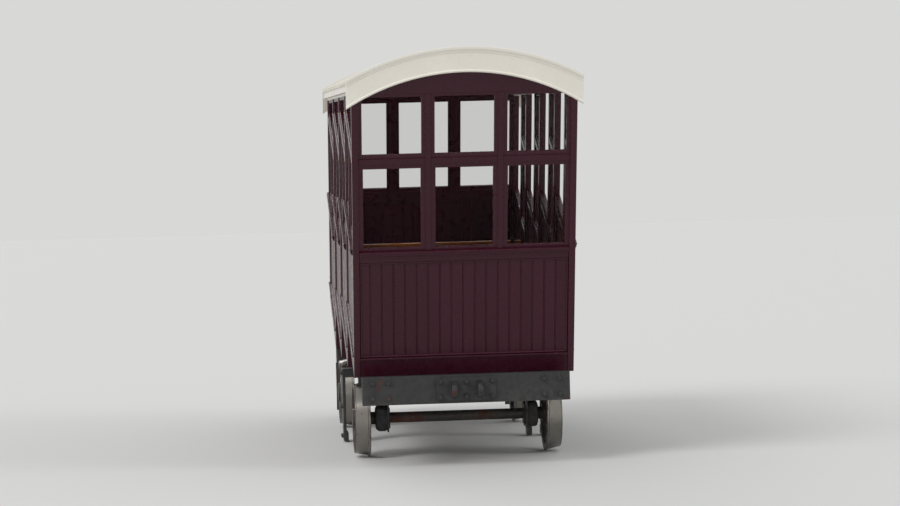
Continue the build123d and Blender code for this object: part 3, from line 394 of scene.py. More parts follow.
@dataclass(frozen=True)
class Paint:
    """Oil paint, brushed on wood or laid over the skin of rolled and cast iron.

    It is a dielectric, pigment under a clear skin of oil, so its highlights stay white. Rain
    and hands cloud it, dust thrown up settles low down and on ledges, and edges rub
    through to what lies below. Real bristle marks are under 1 mm apart: they are drawn 4 mm
    apart to show at all.
    """

    name: str
    colour: str
    rubbed: str
    dust: str = "7d7468"
    gloss: Span = (0.28, 0.5)
    dust_top: float = 1.5
    dust_share: float = 0.35
    texture: Texture = Texture.BRUSHED
    relief: float = 0.00012
    rust: float = 0.0
    rust_dark: str = "34190f"
    rust_light: str = "6b3a20"
    shine: float = 0.5

    def dusted(self, graph: Graph, place: Socket) -> Socket:
        """Share of dust: more of it low down, on ledges and in drifts about 330 mm long.

        Args:
            graph: nodes of the material.
            place: coordinates in metres.

        Returns:
            Values from 0 to 1.
        """
        add, patches = graph.add, graph.patches
        height = add(Node.AXES, place, output=2)
        low = add(Node.STEP, height, 0.1, self.dust_top, 1.0, 0.12)
        specks = add(Node.STEP, patches(place, 38.0, 9.0), 0.3, 0.75)
        drifts = add(Node.STEP, patches(place, 330.0, 3.0), 0.3, 0.7, 0.4, 1.0)
        upward = add(Node.AXES, add(Node.FACING), output=2)
        ledges = add(Node.STEP, upward, 0.5, 0.95, 0.45, 1.0)
        share = add(Node.TIMES, add(Node.TIMES, low, specks), add(Node.TIMES, drifts, ledges))
        return add(Node.TIMES, share, self.dust_share * 2)

    def build(self) -> bpy.types.Material:
        """Builds the material: cloudy pigment, dust, rubbed edges, rust and brush marks.

        Returns:
            The material.
        """
        graph = Graph(bpy.data.materials.new(self.name))
        add, patches = graph.add, graph.patches
        place = add(Node.PLACE)
        board = add(Node.STEP, add(Node.VALUE, attribute_name="shade"), 0.0, 1.0, 0.92, 1.08)
        pigment = add(Node.TONE, linear(self.colour), board)
        faded = add(Node.TONE, linear(self.colour), 1.25)
        cloud = add(Node.STEP, patches(place, 400.0, 5.0), 0.45, 0.75, 0.0, 0.3)
        colour = add(Node.BLEND, cloud, pigment, faded)
        dust = self.dusted(graph, place)
        colour = add(Node.BLEND, dust, colour, linear(self.dust))
        chips = add(Node.STEP, patches(place, 26.0, 6.0), 0.58, 0.68, 0.0, 0.7)
        worn = add(Node.TIMES, add(Node.VALUE, attribute_name="edge"), chips)
        colour = add(Node.BLEND, worn, colour, linear(self.rubbed))
        gloss = add(Node.STEP, patches(place, 70.0), 0.3, 0.7, *self.gloss)
        gloss = add(Node.PLUS, gloss, add(Node.TIMES, dust, 0.4))
        if self.rust > 0.0:
            fine = patches(place, 17.0, 5.0)
            spread = add(Node.PLUS, patches(place, 180.0, 9.0), add(Node.TIMES, fine, 0.12))
            rusty = add(Node.STEP, spread, 0.78 - self.rust, 0.92 - self.rust, 0.0, 0.85)
            stain = add(Node.BLEND, fine, linear(self.rust_dark), linear(self.rust_light))
            colour = add(Node.BLEND, rusty, colour, stain)
            gloss = add(Node.PLUS, gloss, add(Node.TIMES, rusty, 0.35))
        marks = patches(place, self.texture.value, 3.0)
        looks = {"Base_Color": colour, "Roughness": gloss, "Specular_IOR_Level": self.shine}
        return graph.finish(marks, self.relief, **looks)


@dataclass(frozen=True)
class Canvas:
    """Painted canvas laid over roof boards.

    The threads show through many coats as an even weave, so it never shines. Rain carries
    soot from the ridge to the eaves in narrow streaks, and more of it stays towards the
    eaves. Real threads are under 1 mm apart: they are drawn 1.6 mm apart to show close to.
    """

    name: str
    colour: str
    soot: str
    thread: float = 1.6
    streaks: Point = (62.0, 900.0, 900.0)
    relief: float = 0.00012

    def build(self) -> bpy.types.Material:
        """Builds the material: crossed threads, faint clouds, streaks that fade to the ridge.

        Returns:
            The material.
        """
        graph = Graph(bpy.data.materials.new(self.name))
        add, patches = graph.add, graph.patches
        place = add(Node.PLACE)
        along, across = [add(Node.AXES, place, output=axis) for axis in (0, 1)]
        turns = ROUND * 1000.0 / self.thread
        waves = [add(Node.SINE, add(Node.TIMES, axis, turns)) for axis in (along, across)]
        cloud = add(Node.STEP, patches(place, 770.0, 3.0), 0.35, 0.7, 0.0, 0.16)
        streak = add(Node.STEP, patches(place, self.streaks, 5.0), 0.5, 0.75)
        reach = add(Node.STEP, add(Node.SIZE, across), 0.1, 0.9, 0.04, 0.3)
        soot = add(Node.PLUS, cloud, add(Node.TIMES, streak, reach))
        colour = add(Node.BLEND, soot, linear(self.colour), linear(self.soot))
        dull = add(Node.STEP, patches(place, 33.0, 2.0), 0.3, 0.7, 0.62, 0.78)
        weave = add(Node.TIMES, *waves)
        return graph.finish(weave, self.relief, Base_Color=colour, Roughness=dull)


@dataclass(frozen=True)
class Timber:
    """Sawn boards with the grain along them.

    Summer and winter wood take the light differently, pores run with the grain, and each
    board comes from another plank. Varnish lies over it as a clear gloss; bare floor is
    dull. Real pores are under 0.3 mm wide: they are drawn 2.4 mm apart to show at all.
    """

    name: str
    light: str
    dark: str
    worn: str
    gloss: Span
    coat: float
    wear: float
    relief: float = 0.0006
    coat_gloss: float = 0.12

    def build(self) -> bpy.types.Material:
        """Builds the material: stretched growth lines, pores, board shades and worn faces.

        Returns:
            The material.
        """
        graph = Graph(bpy.data.materials.new(self.name))
        add, patches = graph.add, graph.patches
        grain = add(Node.VECTOR, attribute_name="grain")
        shade, edge = [add(Node.VALUE, attribute_name=mark) for mark in ("shade", "edge")]
        sway = add(Node.TIMES, patches(grain, (770.0, 200.0, 200.0), 2.0), 0.3)
        lines = add(Node.PLUS, patches(grain, (625.0, 29.0, 29.0), 6.0, 1.4), sway)
        growth = add(Node.STEP, lines, 0.45, 0.85)
        colour = add(Node.BLEND, growth, linear(self.light), linear(self.dark))
        pores = add(Node.STEP, patches(grain, (71.0, 2.4, 2.4), 2.0), 0.58, 0.7)
        hollow = add(Node.TONE, linear(self.dark), 0.55)
        colour = add(Node.BLEND, add(Node.TIMES, pores, 0.55), colour, hollow)
        colour = add(Node.TONE, colour, add(Node.STEP, shade, 0.0, 1.0, 0.78, 1.18))
        trodden = add(Node.STEP, patches(grain, (830.0, 450.0, 450.0), 5.0), 0.42, 0.7)
        rubbed = add(Node.TIMES, add(Node.MOST, trodden, edge), self.wear)
        colour = add(Node.BLEND, rubbed, colour, linear(self.worn))
        uneven = add(Node.PLUS, rubbed, add(Node.TIMES, pores, 0.3))
        gloss = add(Node.STEP, uneven, 0.0, 1.0, *self.gloss)
        relief = add(Node.TIMES, add(Node.LESS, growth, pores), 0.6)
        coat = {"Coat_Weight": self.coat, "Coat_Roughness": self.coat_gloss}
        return graph.finish(relief, self.relief, Base_Color=colour, Roughness=gloss, **coat)


@dataclass(frozen=True)
class Metal:
    """Bare metal: its colour is its reflection.

    Handled or rolled parts stay bright with fine scratches one way, and what nobody touches
    tarnishes or rusts, which is dull and no longer metallic. Real scratches are finer than a
    pixel: they are drawn 2 to 5 mm apart.
    """

    name: str
    colour: str
    tarnish: str
    gloss: Span
    cover: float
    scratch: Point = (2.5, 125.0, 2.5)
    relief: float = 0.0002

    def build(self) -> bpy.types.Material:
        """Builds the material: bright metal, tarnish in patches, scratches one way.

        Returns:
            The material.
        """
        graph = Graph(bpy.data.materials.new(self.name))
        add, patches = graph.add, graph.patches
        place = add(Node.PLACE)
        fine = add(Node.TIMES, patches(place, 6.3, 3.0), 0.15)
        spread = add(Node.PLUS, patches(place, 83.0, 8.0), fine)
        tarnished = add(Node.STEP, spread, 0.8 - self.cover, 0.95 - self.cover)
        lines = patches(place, self.scratch, 3.0)
        dim = add(Node.TONE, linear(self.colour), 0.7)
        scratched = add(Node.STEP, lines, 0.3, 0.7, 0.0, 0.35)
        bright = add(Node.BLEND, scratched, linear(self.colour), dim)
        colour = add(Node.BLEND, tarnished, bright, linear(self.tarnish))
        uneven = add(Node.PLUS, tarnished, add(Node.TIMES, lines, 0.2))
        gloss = add(Node.STEP, uneven, 0.0, 1.0, *self.gloss)
        bare = add(Node.STEP, tarnished, 0.0, 1.0, 1.0, 0.25)
        raised = add(Node.TIMES, lines, 0.3), add(Node.TIMES, tarnished, 0.5)
        looks = {"Base_Color": colour, "Roughness": gloss, "Metallic": bare}
        return graph.finish(add(Node.PLUS, *raised), self.relief, **looks)


@dataclass(frozen=True)
class Pane:
    """Clear sheet glass: little of it shows but its reflection, which dust dulls in patches."""

    name: str
    colour: str
    share: float
    index: float = 1.52

    def build(self) -> bpy.types.Material:
        """Builds the material: an even, mostly see-through sheet with patches of dulled gloss.

        Returns:
            The material.
        """
        graph = Graph(bpy.data.materials.new(self.name))
        film = graph.patches(graph.add(Node.PLACE), 250.0, 6.0)
        dull = graph.add(Node.STEP, film, 0.4, 0.8, 0.02, 0.2)
        sheet = {"Alpha": self.share, "IOR": self.index}
        return graph.finish(None, 0.0, Base_Color=linear(self.colour), Roughness=dull, **sheet)


IRON = {"texture": Texture.CAST}
FINISHES = {
    # Oil paint rubbed down between coats on pine boards: dark and deep, with soft highlights.
    Slot.MAROON: Paint(
        "maroon_gloss_paint",
        "3a0f20",
        "63402f",
        gloss=(0.24, 0.38),
        dust_top=1.1,
        dust_share=0.06,
        shine=0.32,
    ),
    # The same in off-white: bright, and brown where its edges are rubbed.
    Slot.CREAM: Paint(
        "cream_gloss_paint", "f0ebe0", "a58e6d", "8d8474", (0.24, 0.45), dust_share=0.12
    ),
    # Cotton duck under many coats of white: dull, woven, and sooty towards the eaves.
    Slot.CANVAS: Canvas("painted_canvas", "dedacd", "8f8a7e"),
    # Sawn pine, trodden bare: dull and grey-brown, paler in the worn patches.
    Slot.FLOOR: Timber(
        "worn_floor_boards", "8c6f52", "57412e", "a8957d", (0.55, 0.85), 0.0, 0.55
    ),
    # Planed hardwood under varnish: warm, with dark growth lines and a clear gloss.
    Slot.SEAT: Timber("varnished_slats", "a8622c", "6a3413", "c08a52", (0.3, 0.5), 0.6, 0.25),
    # Rolled iron under black paint: half dull, dusty low down, with rust coming through.
    Slot.BLACK: Paint(
        "black_frame_paint",
        "26272a",
        "5b3a26",
        gloss=(0.4, 0.65),
        dust_top=1.0,
        dust_share=0.3,
        relief=0.0006,
        rust=0.14,
        **IRON,
    ),
    # Sand-cast iron under black paint: the sand's grain shows as a pitted skin.
    Slot.CASTING: Paint(
        "painted_casting", "2f3033", "6b4a33", gloss=(0.45, 0.7), relief=0.0012, rust=0.1, **IRON
    ),
    # Rolled spring steel, wiped with oil: a brown film over black scale, rusty between leaves.
    Slot.SPRING: Paint(
        "oiled_spring_leaves",
        "3b342e",
        "7a6a5a",
        gloss=(0.3, 0.6),
        relief=0.0004,
        rust=0.26,
        **IRON,
    ),
    # Cast wheel centres in old paint: brown with brake dust, rust and grime.
    Slot.WHEEL: Paint(
        "wheel_centre_paint",
        "33302e",
        "6a4630",
        gloss=(0.4, 0.65),
        relief=0.001,
        rust=0.2,
        **IRON,
    ),
    # Cast and drawn brass: bright where hands reach it, brown everywhere else.
    Slot.BRASS: Metal("handled_brass", "c9a05a", "6b5530", (0.18, 0.55), 0.18),
    # Drawn window glass.
    Slot.GLASS: Pane("window_pane", "1c2423", 0.05),
}
# Rolled tyre steel, polished bright round its run.
TREAD = Metal("rolled_tread_steel", "8f8b85", "4f443c", (0.2, 0.55), 0.16, (125.0, 2.0, 125.0))
# Forged steel, scuffed bright by what it meets and browned between.
WORN_STEEL = Metal("rubbed_head_steel", "9c9892", "5a4c40", (0.3, 0.6), 0.24, (5.0, 5.0, 125.0))
MATERIALS: dict[Slot, bpy.types.Material] = {}


# Surfaces


def tile(rows: int, columns: int, close_rows: bool = False, close_columns: bool = False) -> Array:
    """Quads of a grid of points that are numbered row by row.

    Args:
        rows: rows of points.
        columns: points in a row.
        close_rows: whether the last row joins the first.
        close_columns: whether each row's last point joins its first.

    Returns:
        Point numbers (quads, 4).
    """
    row, column = np.meshgrid(
        np.arange(rows if close_rows else rows - 1),
        np.arange(columns if close_columns else columns - 1),
        indexing="ij",
    )
    next_row, next_column = (row + 1) % rows, (column + 1) % columns
    corners = [(row, column), (next_row, column), (next_row, next_column), (row, next_column)]
    return np.stack([r * columns + c for r, c in corners], -1).reshape(-1, 4)


def block_template(steps: int) -> tuple[Array, Array, Array]:
    """Shell of a cube whose edges are arcs.

    Args:
        steps: parts of each half arc.

    Returns:
        For each point the corner it belongs to, as signs (n, 3), its direction from that
        corner's centre (n, 3), and the quads (m, 4).
    """
    half = np.linspace(0.0, 1.0, steps + 1)
    arc = np.concatenate([-half[::-1], half])
    sign = np.repeat([-1.0, 1.0], steps + 1)
    size = len(arc)
    index = np.indices((size,) * 3).reshape(3, -1).T
    shell = ((index == 0) | (index == size - 1)).any(axis=1)
    number = np.cumsum(shell).reshape((size,) * 3) - 1
    quads = tile(size, size)
    walls = [np.take(number, end, axis=axis) for axis in range(3) for end in (0, size - 1)]
    way = np.tan(arc[index[shell]] * math.pi / 4)
    way /= np.linalg.norm(way, axis=1, keepdims=True)
    return sign[index[shell]], way, np.concatenate([wall.ravel()[quads] for wall in walls])


def mitres(path: Array) -> Array:
    """Offset at each corner of closed plane paths that keeps a border of width 1.

    It is the sum of the left normals of the two edges that meet there, over one plus their
    dot product.

    Args:
        path: corners (..., k, 2).

    Returns:
        Offsets (..., k, 2), to the left of the path.
    """
    ahead = np.roll(path, -1, axis=-2) - path
    behind = path - np.roll(path, 1, axis=-2)
    normals = [np.stack([-way[..., 1], way[..., 0]], -1) for way in (behind, ahead)]
    first, second = [way / np.linalg.norm(way, axis=-1, keepdims=True) for way in normals]
    return (first + second) / (1.0 + np.sum(first * second, axis=-1, keepdims=True))


def rectangle(from_u: float, to_u: float, from_v: float, to_v: float) -> Array:
    """Corners of a rectangle, anticlockwise."""
    return np.array([(from_u, from_v), (to_u, from_v), (to_u, to_v), (from_u, to_v)])


def spots(x: ArrayLike, y: ArrayLike, z: ArrayLike) -> Array:
    """Places (n, 3) at every combination of x, y and z."""
    return np.stack(np.meshgrid(x, y, z, indexing="ij"), -1).reshape(-1, 3)


def ring(centre: Point, radius: float, angles: Array, axis: int = 2) -> Array:
    """Places on a circle, at radius cos t and radius sin t along the axes after its own.

    Args:
        centre: its centre.
        radius: its radius.
        angles: angle t of each place.
        axis: the axis that it stands square to.

    Returns:
        Places (n, 3).
    """
    flat = np.stack([radius * np.cos(angles), radius * np.sin(angles), 0 * angles], -1)
    return np.asarray(centre) + np.roll(flat, axis - 2, axis=-1)


def bead(width: float, height: float, base: float = -0.002, count: int = 7) -> Array:
    """Half-round profile of a moulding.

    The distance inwards is width (1 - cos t) / 2 and the height is height sin t.

    Args:
        width: how far it reaches inwards.
        height: how far it stands off.
        base: how deep its back is sunk.
        count: points on its round.

    Returns:
        Closed profile (count + 2, 2) of distance inwards and height.
    """
    turn = np.linspace(0.0, math.pi, count)
    arc = np.stack([width * (1 - np.cos(turn)) / 2, height * np.sin(turn)], -1)
    return np.concatenate([[(0.0, base)], arc, [(width, base)]])


def sash_profile(
    width: float, ovolo: float = 0.006, low: float = -0.041, high: float = -0.009
) -> Array:
    """Sash profile: square outside, a quarter round on its inner edges.

    Args:
        width: how far it reaches inwards.
        ovolo: radius of the quarter rounds.
        low: its back.
        high: its front.

    Returns:
        Closed profile of distance inwards and height.
    """
    turn = np.linspace(0.0, QUARTER, 5)
    lip = width - ovolo
    front = np.stack([lip + ovolo * np.sin(turn), high - ovolo + ovolo * np.cos(turn)], -1)
    back = np.stack([lip + ovolo * np.cos(turn), low + ovolo - ovolo * np.sin(turn)], -1)
    return np.concatenate([[(0.0, low), (0.0, high)], front, back])


class Shape:
    """Surfaces gathered into one piece, with the grain, shade and edge of every point."""

    def __init__(self, place: Frame) -> None:
        """Starts an empty piece.

        Args:
            place: the frame that it is drawn in.
        """
        self.frame = place
        self.points: list[Array] = []
        self.marks: list[Array] = []
        self.faces: list[Array] = []
        self.total = 0

    def add(
        self,
        points: Array,
        faces: list[Array],
        grain: Array | None = None,
        shade: ArrayLike = 0.5,
        edge: ArrayLike = 0.0,
    ) -> None:
        """Adds points and faces.

        Args:
            points: local points (..., 3).
            faces: arrays (m, k) of point numbers, one for each number of corners.
            grain: coordinates of the wood, along the board first; the points if None.
            shade: brightness of the board, 0 to 1, for each point or for all.
            edge: 1 on a rubbed edge, 0 on a flat.
        """
        marks = np.empty(points.shape[:-1] + (5,))
        marks[..., :3] = points if grain is None else grain
        marks[..., 3] = shade
        marks[..., 4] = edge
        self.points.append(self.frame.place(points.reshape(-1, 3)))
        self.marks.append(marks.reshape(-1, 5))
        self.faces += [face + self.total for face in faces]
        self.total += len(self.points[-1])

    def grid(self, points: Array, close_rows: bool = False, shade: ArrayLike = 0.5) -> None:
        """Adds closed surfaces of two parameters, whose rows are rings of points.

        Args:
            points: (..., rows, columns, 3), one surface for each leading index.
            close_rows: whether the last ring joins the first; if not, both are filled.
            shade: brightness of the board for each point or for all.
        """
        rows, columns = points.shape[-3:-1]
        starts = np.arange(0, points.size // 3, rows * columns)[:, None, None]
        faces = [(tile(rows, columns, close_rows, True) + starts).reshape(-1, 4)]
        if not close_rows:
            row = np.arange(columns)
            faces += [row + starts[:, 0], row + (rows - 1) * columns + starts[:, 0]]
        self.add(points, faces, shade=shade)

    def blocks(
        self,
        corner: ArrayLike,
        opposite: ArrayLike,
        radius: float,
        along: int = 0,
        steps: int = 1,
        lean: float = 0.0,
    ) -> None:
        """Adds boards with rounded edges between opposite corners.

        A point lies at its corner's sign times the half size less the radius, plus the
        radius along its direction, so faces are flat and edges are arcs.

        Args:
            corner: one corner of each (n, 3).
            opposite: the opposite corner of each (n, 3).
            radius: radius of the edges.
            along: axis along the grain.
            steps: parts of each half arc.
            lean: slope of the boards' upper v ends with u.
        """
        ends = np.broadcast_arrays(*np.atleast_2d(corner, opposite))
        low, high = np.minimum(*ends), np.maximum(*ends)
        sign, way, quads = block_template(steps)
        half = ((high - low) / 2)[:, None, :]
        limit = np.minimum(radius, half.min(axis=2, keepdims=True) * 0.98)
        local = sign * (half - limit) + limit * way
        local[..., 1] += np.where(sign[:, 1] > 0, lean * local[..., 0], 0.0)
        count = len(low)
        grain = np.roll(local, -along, axis=2) + RANDOM.uniform(0.0, 40.0, (count, 1, 3))
        shade = RANDOM.random((count, 1))
        edge = (np.abs(way) > 1e-6).sum(axis=1) > 1
        faces = (quads + np.arange(count)[:, None, None] * len(sign)).reshape(-1, 4)
        self.add(local + ((low + high) / 2)[:, None, :], [faces], grain, shade, edge)

    def matchboard(self, u: Span, v: Span, w: Span, pitch: float) -> None:
        """Adds boards side by side along u, each with a V joint and a bead on both faces.

        The profile of one board is a chamfer, a flat, a quirk and a half-round bead. It is
        repeated along u, mirrored for the back and drawn out along v.

        Args:
            u: from and to across the boards.
            v: from and to along them.
            w: back and front.
            pitch: about the width of a board.
        """
        count = max(1, round((u[1] - u[0]) / pitch))
        width = (u[1] - u[0]) / count
        joint, round_r, quirk, uneven = 0.0035, 0.0042, 0.002, 0.0006
        turn = np.linspace(0.0, math.pi, 6)
        centre = width - joint - round_r
        arc = np.stack([centre - round_r * np.cos(turn), round_r * (np.sin(turn) - 1)], -1)
        flat = [(0.0, -joint), (joint, 0.0), (centre - round_r - quirk, 0.0)]
        board = np.concatenate([flat, arc])
        across = u[0] + board[:, 0] + np.arange(count)[:, None] * width
        depth = board[:, 1] + RANDOM.uniform(-uneven, uneven, (count, 1))
        face = np.stack([across, w[1] + depth], -1).reshape(-1, 2)
        back = np.stack([across, w[0] - depth], -1).reshape(-1, 2)
        last = [(u[1], w[1] - joint), (u[1], w[0] + joint)]
        section = np.concatenate([face, last, back[::-1]])
        points = np.empty((2, len(section), 3))
        points[..., 0] = section[:, 0]
        points[..., 1] = np.array(v)[:, None]
        points[..., 2] = section[:, 1]
        shade = np.repeat(RANDOM.random(count), len(board))
        self.grid(points, shade=np.concatenate([shade, [0.5, 0.5], shade[::-1]]))

    def sweep(self, path: ArrayLike, profile: Array, w: float = 0.0) -> None:
        """Draws a profile round closed plane paths, mitred at their corners.

        Args:
            path: corners (..., k, 2) in u and v.
            profile: closed profile (m, 2), distance to the left of the path and height.
            w: height of the paths' plane.
        """
        path = np.asarray(path, float)
        plane = path[..., :, None, :] + profile[:, :1] * mitres(path)[..., :, None, :]
        height = np.broadcast_to(w + profile[:, 1:], plane.shape[:-1] + (1,))
        self.grid(np.concatenate([plane, height], -1), True)

    def turned(
        self,
        profile: ArrayLike,
        centres: ArrayLike,
        axis: int = 2,
        way: int = 1,
        segments: int = 24,
        phase: float = 0.0,
        hollow: bool = False,
    ) -> None:
        """Adds turned bodies: each profile point's radius, carried round an axis at its height.

        Args:
            profile: radius and height of each point.
            centres: where height 0 lies (n, 3).
            axis: local axis of turning.
            way: 1 if heights run along the axis, -1 if against it.
            segments: parts of a full turn.
            phase: angle of the first part.
            hollow: whether the profile is a closed loop clear of the axis.
        """
        radius, height = np.asarray(profile, float).T
        angle = phase + np.arange(segments) * ROUND / segments
        points = np.empty((len(radius), segments, 3))
        points[..., 0] = np.outer(radius, np.cos(angle))
        points[..., 1] = np.outer(radius, np.sin(angle))
        points[..., 2] = way * height[:, None]
        centres = np.atleast_2d(np.asarray(centres, float))[:, None, None, :]
        points = centres + np.roll(points, axis - 2, axis=-1)
        self.grid(points, hollow)

    def bolts(self, centres: ArrayLike, axis: int, way: int, size: float) -> None:
        """Adds hexagon heads on round washers.

        Args:
            centres: their places on the surface (n, 3).
            axis: local axis that they point along.
            way: 1 if they point along it, -1 if against it.
            size: size of the heads across their flats.
        """
        corner = size / math.sqrt(3.0)
        brim, rim, thick = 1.25 * corner, 1.18 * corner, 0.12 * size
        side, top, crown = 0.62 * size, 0.72 * size, 0.84 * corner
        washer = ((brim, -0.001), (brim, 0.7 * thick), (rim, thick), (0.5 * corner, thick))
        head = ((corner, 0.5 * thick), (corner, side), (crown, top), (0.2 * corner, top))
        self.turned(washer, centres, axis, way, 16)
        self.turned(head, centres, axis, way, 6, 0.3)

    def domes(self, centres: ArrayLike, axis: int, way: int, radius: float) -> None:
        """Adds round heads of coach bolts, rivets or screws.

        Args:
            centres: their places on the surface (n, 3).
            axis: local axis that they point along.
            way: 1 if they point along it, -1 if against it.
            radius: their radius.
        """
        turn = np.linspace(0.0, 0.92 * QUARTER, 4)
        dome = np.stack([radius * np.cos(turn), 0.55 * radius * np.sin(turn)], -1)
        self.turned(np.concatenate([[(radius, -0.001)], dome]), centres, axis, way, 10)

    def piece(
        self,
        name: str,
        slot: Slot,
        body: str = "car",
        stands_for: tuple[str, ...] = (),
        finish: bpy.types.Material | None = None,
    ) -> bpy.types.Object:
        """Makes the mesh and its object.

        Args:
            name: name of the piece.
            slot: material slot of the record.
            body: body that it moves with.
            stands_for: nodes of the solids that it replaces.
            finish: material, if not the slot's own.

        Returns:
            The object.
        """
        mesh = bpy.data.meshes.new(name)
        points, marks = np.concatenate(self.points), np.concatenate(self.marks)
        sizes = np.concatenate([np.full(len(face), face.shape[1]) for face in self.faces])
        loops = np.concatenate([face.ravel() for face in self.faces])
        mesh.vertices.add(len(points))
        mesh.vertices.foreach_set("co", points.ravel())
        mesh.loops.add(len(loops))
        mesh.loops.foreach_set("vertex_index", loops.astype(np.int32))
        mesh.polygons.add(len(sizes))
        starts = np.cumsum(sizes) - sizes
        mesh.polygons.foreach_set("loop_start", starts.astype(np.int32))
        mesh.update(calc_edges=True)
        layers = {
            "grain": ("FLOAT_VECTOR", "vector", marks[:, :3]),
            "shade": ("FLOAT", "value", marks[:, 3]),
            "edge": ("FLOAT", "value", marks[:, 4]),
        }
        for layer, (kind, key, values) in layers.items():
            mesh.attributes.new(layer, kind, "POINT").data.foreach_set(key, values.ravel())
        shell = bmesh.new()
        shell.from_mesh(mesh)
        bmesh.ops.recalc_face_normals(shell, faces=shell.faces)
        shell.to_mesh(mesh)
        shell.free()
        mesh.shade_smooth()
        mesh.set_sharp_from_angle(angle=SHARP_ANGLE)
        mesh.materials.append(finish or MATERIALS[slot])
        piece = bpy.data.objects.new(name, mesh)
        bpy.context.scene.collection.objects.link(piece)
        piece.modifiers.new("weighted_normals", "WEIGHTED_NORMAL").keep_sharp = True
        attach(piece, body)
        if stands_for:
            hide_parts(*stands_for)
        LOG.info("%s: %d faces on %s", name, len(sizes), body)
        return piece


def dress(slot: Slot, bevel: float, *nodes: str) -> None:
    """Gives nodes of the solids their finish and a small round on their edges.

    Args:
        slot: material slot of the record.
        bevel: width of the round.
        *nodes: their names.
    """
    for name in nodes:
        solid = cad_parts[name]
        solid.data.materials.clear()
        solid.data.materials.append(MATERIALS[slot])
        solid.modifiers.new("weld", "WELD").merge_threshold = 0.00001
        if bevel > 0.0:
            edges = solid.modifiers.new("edges", "BEVEL")
            edges.width = bevel
            edges.segments = 2
            edges.limit_method = "ANGLE"
            edges.angle_limit = math.radians(40.0)
            edges.harden_normals = True
        LOG.info("%s: solid kept, %s", name, slot.value)


# Sub-assemblies


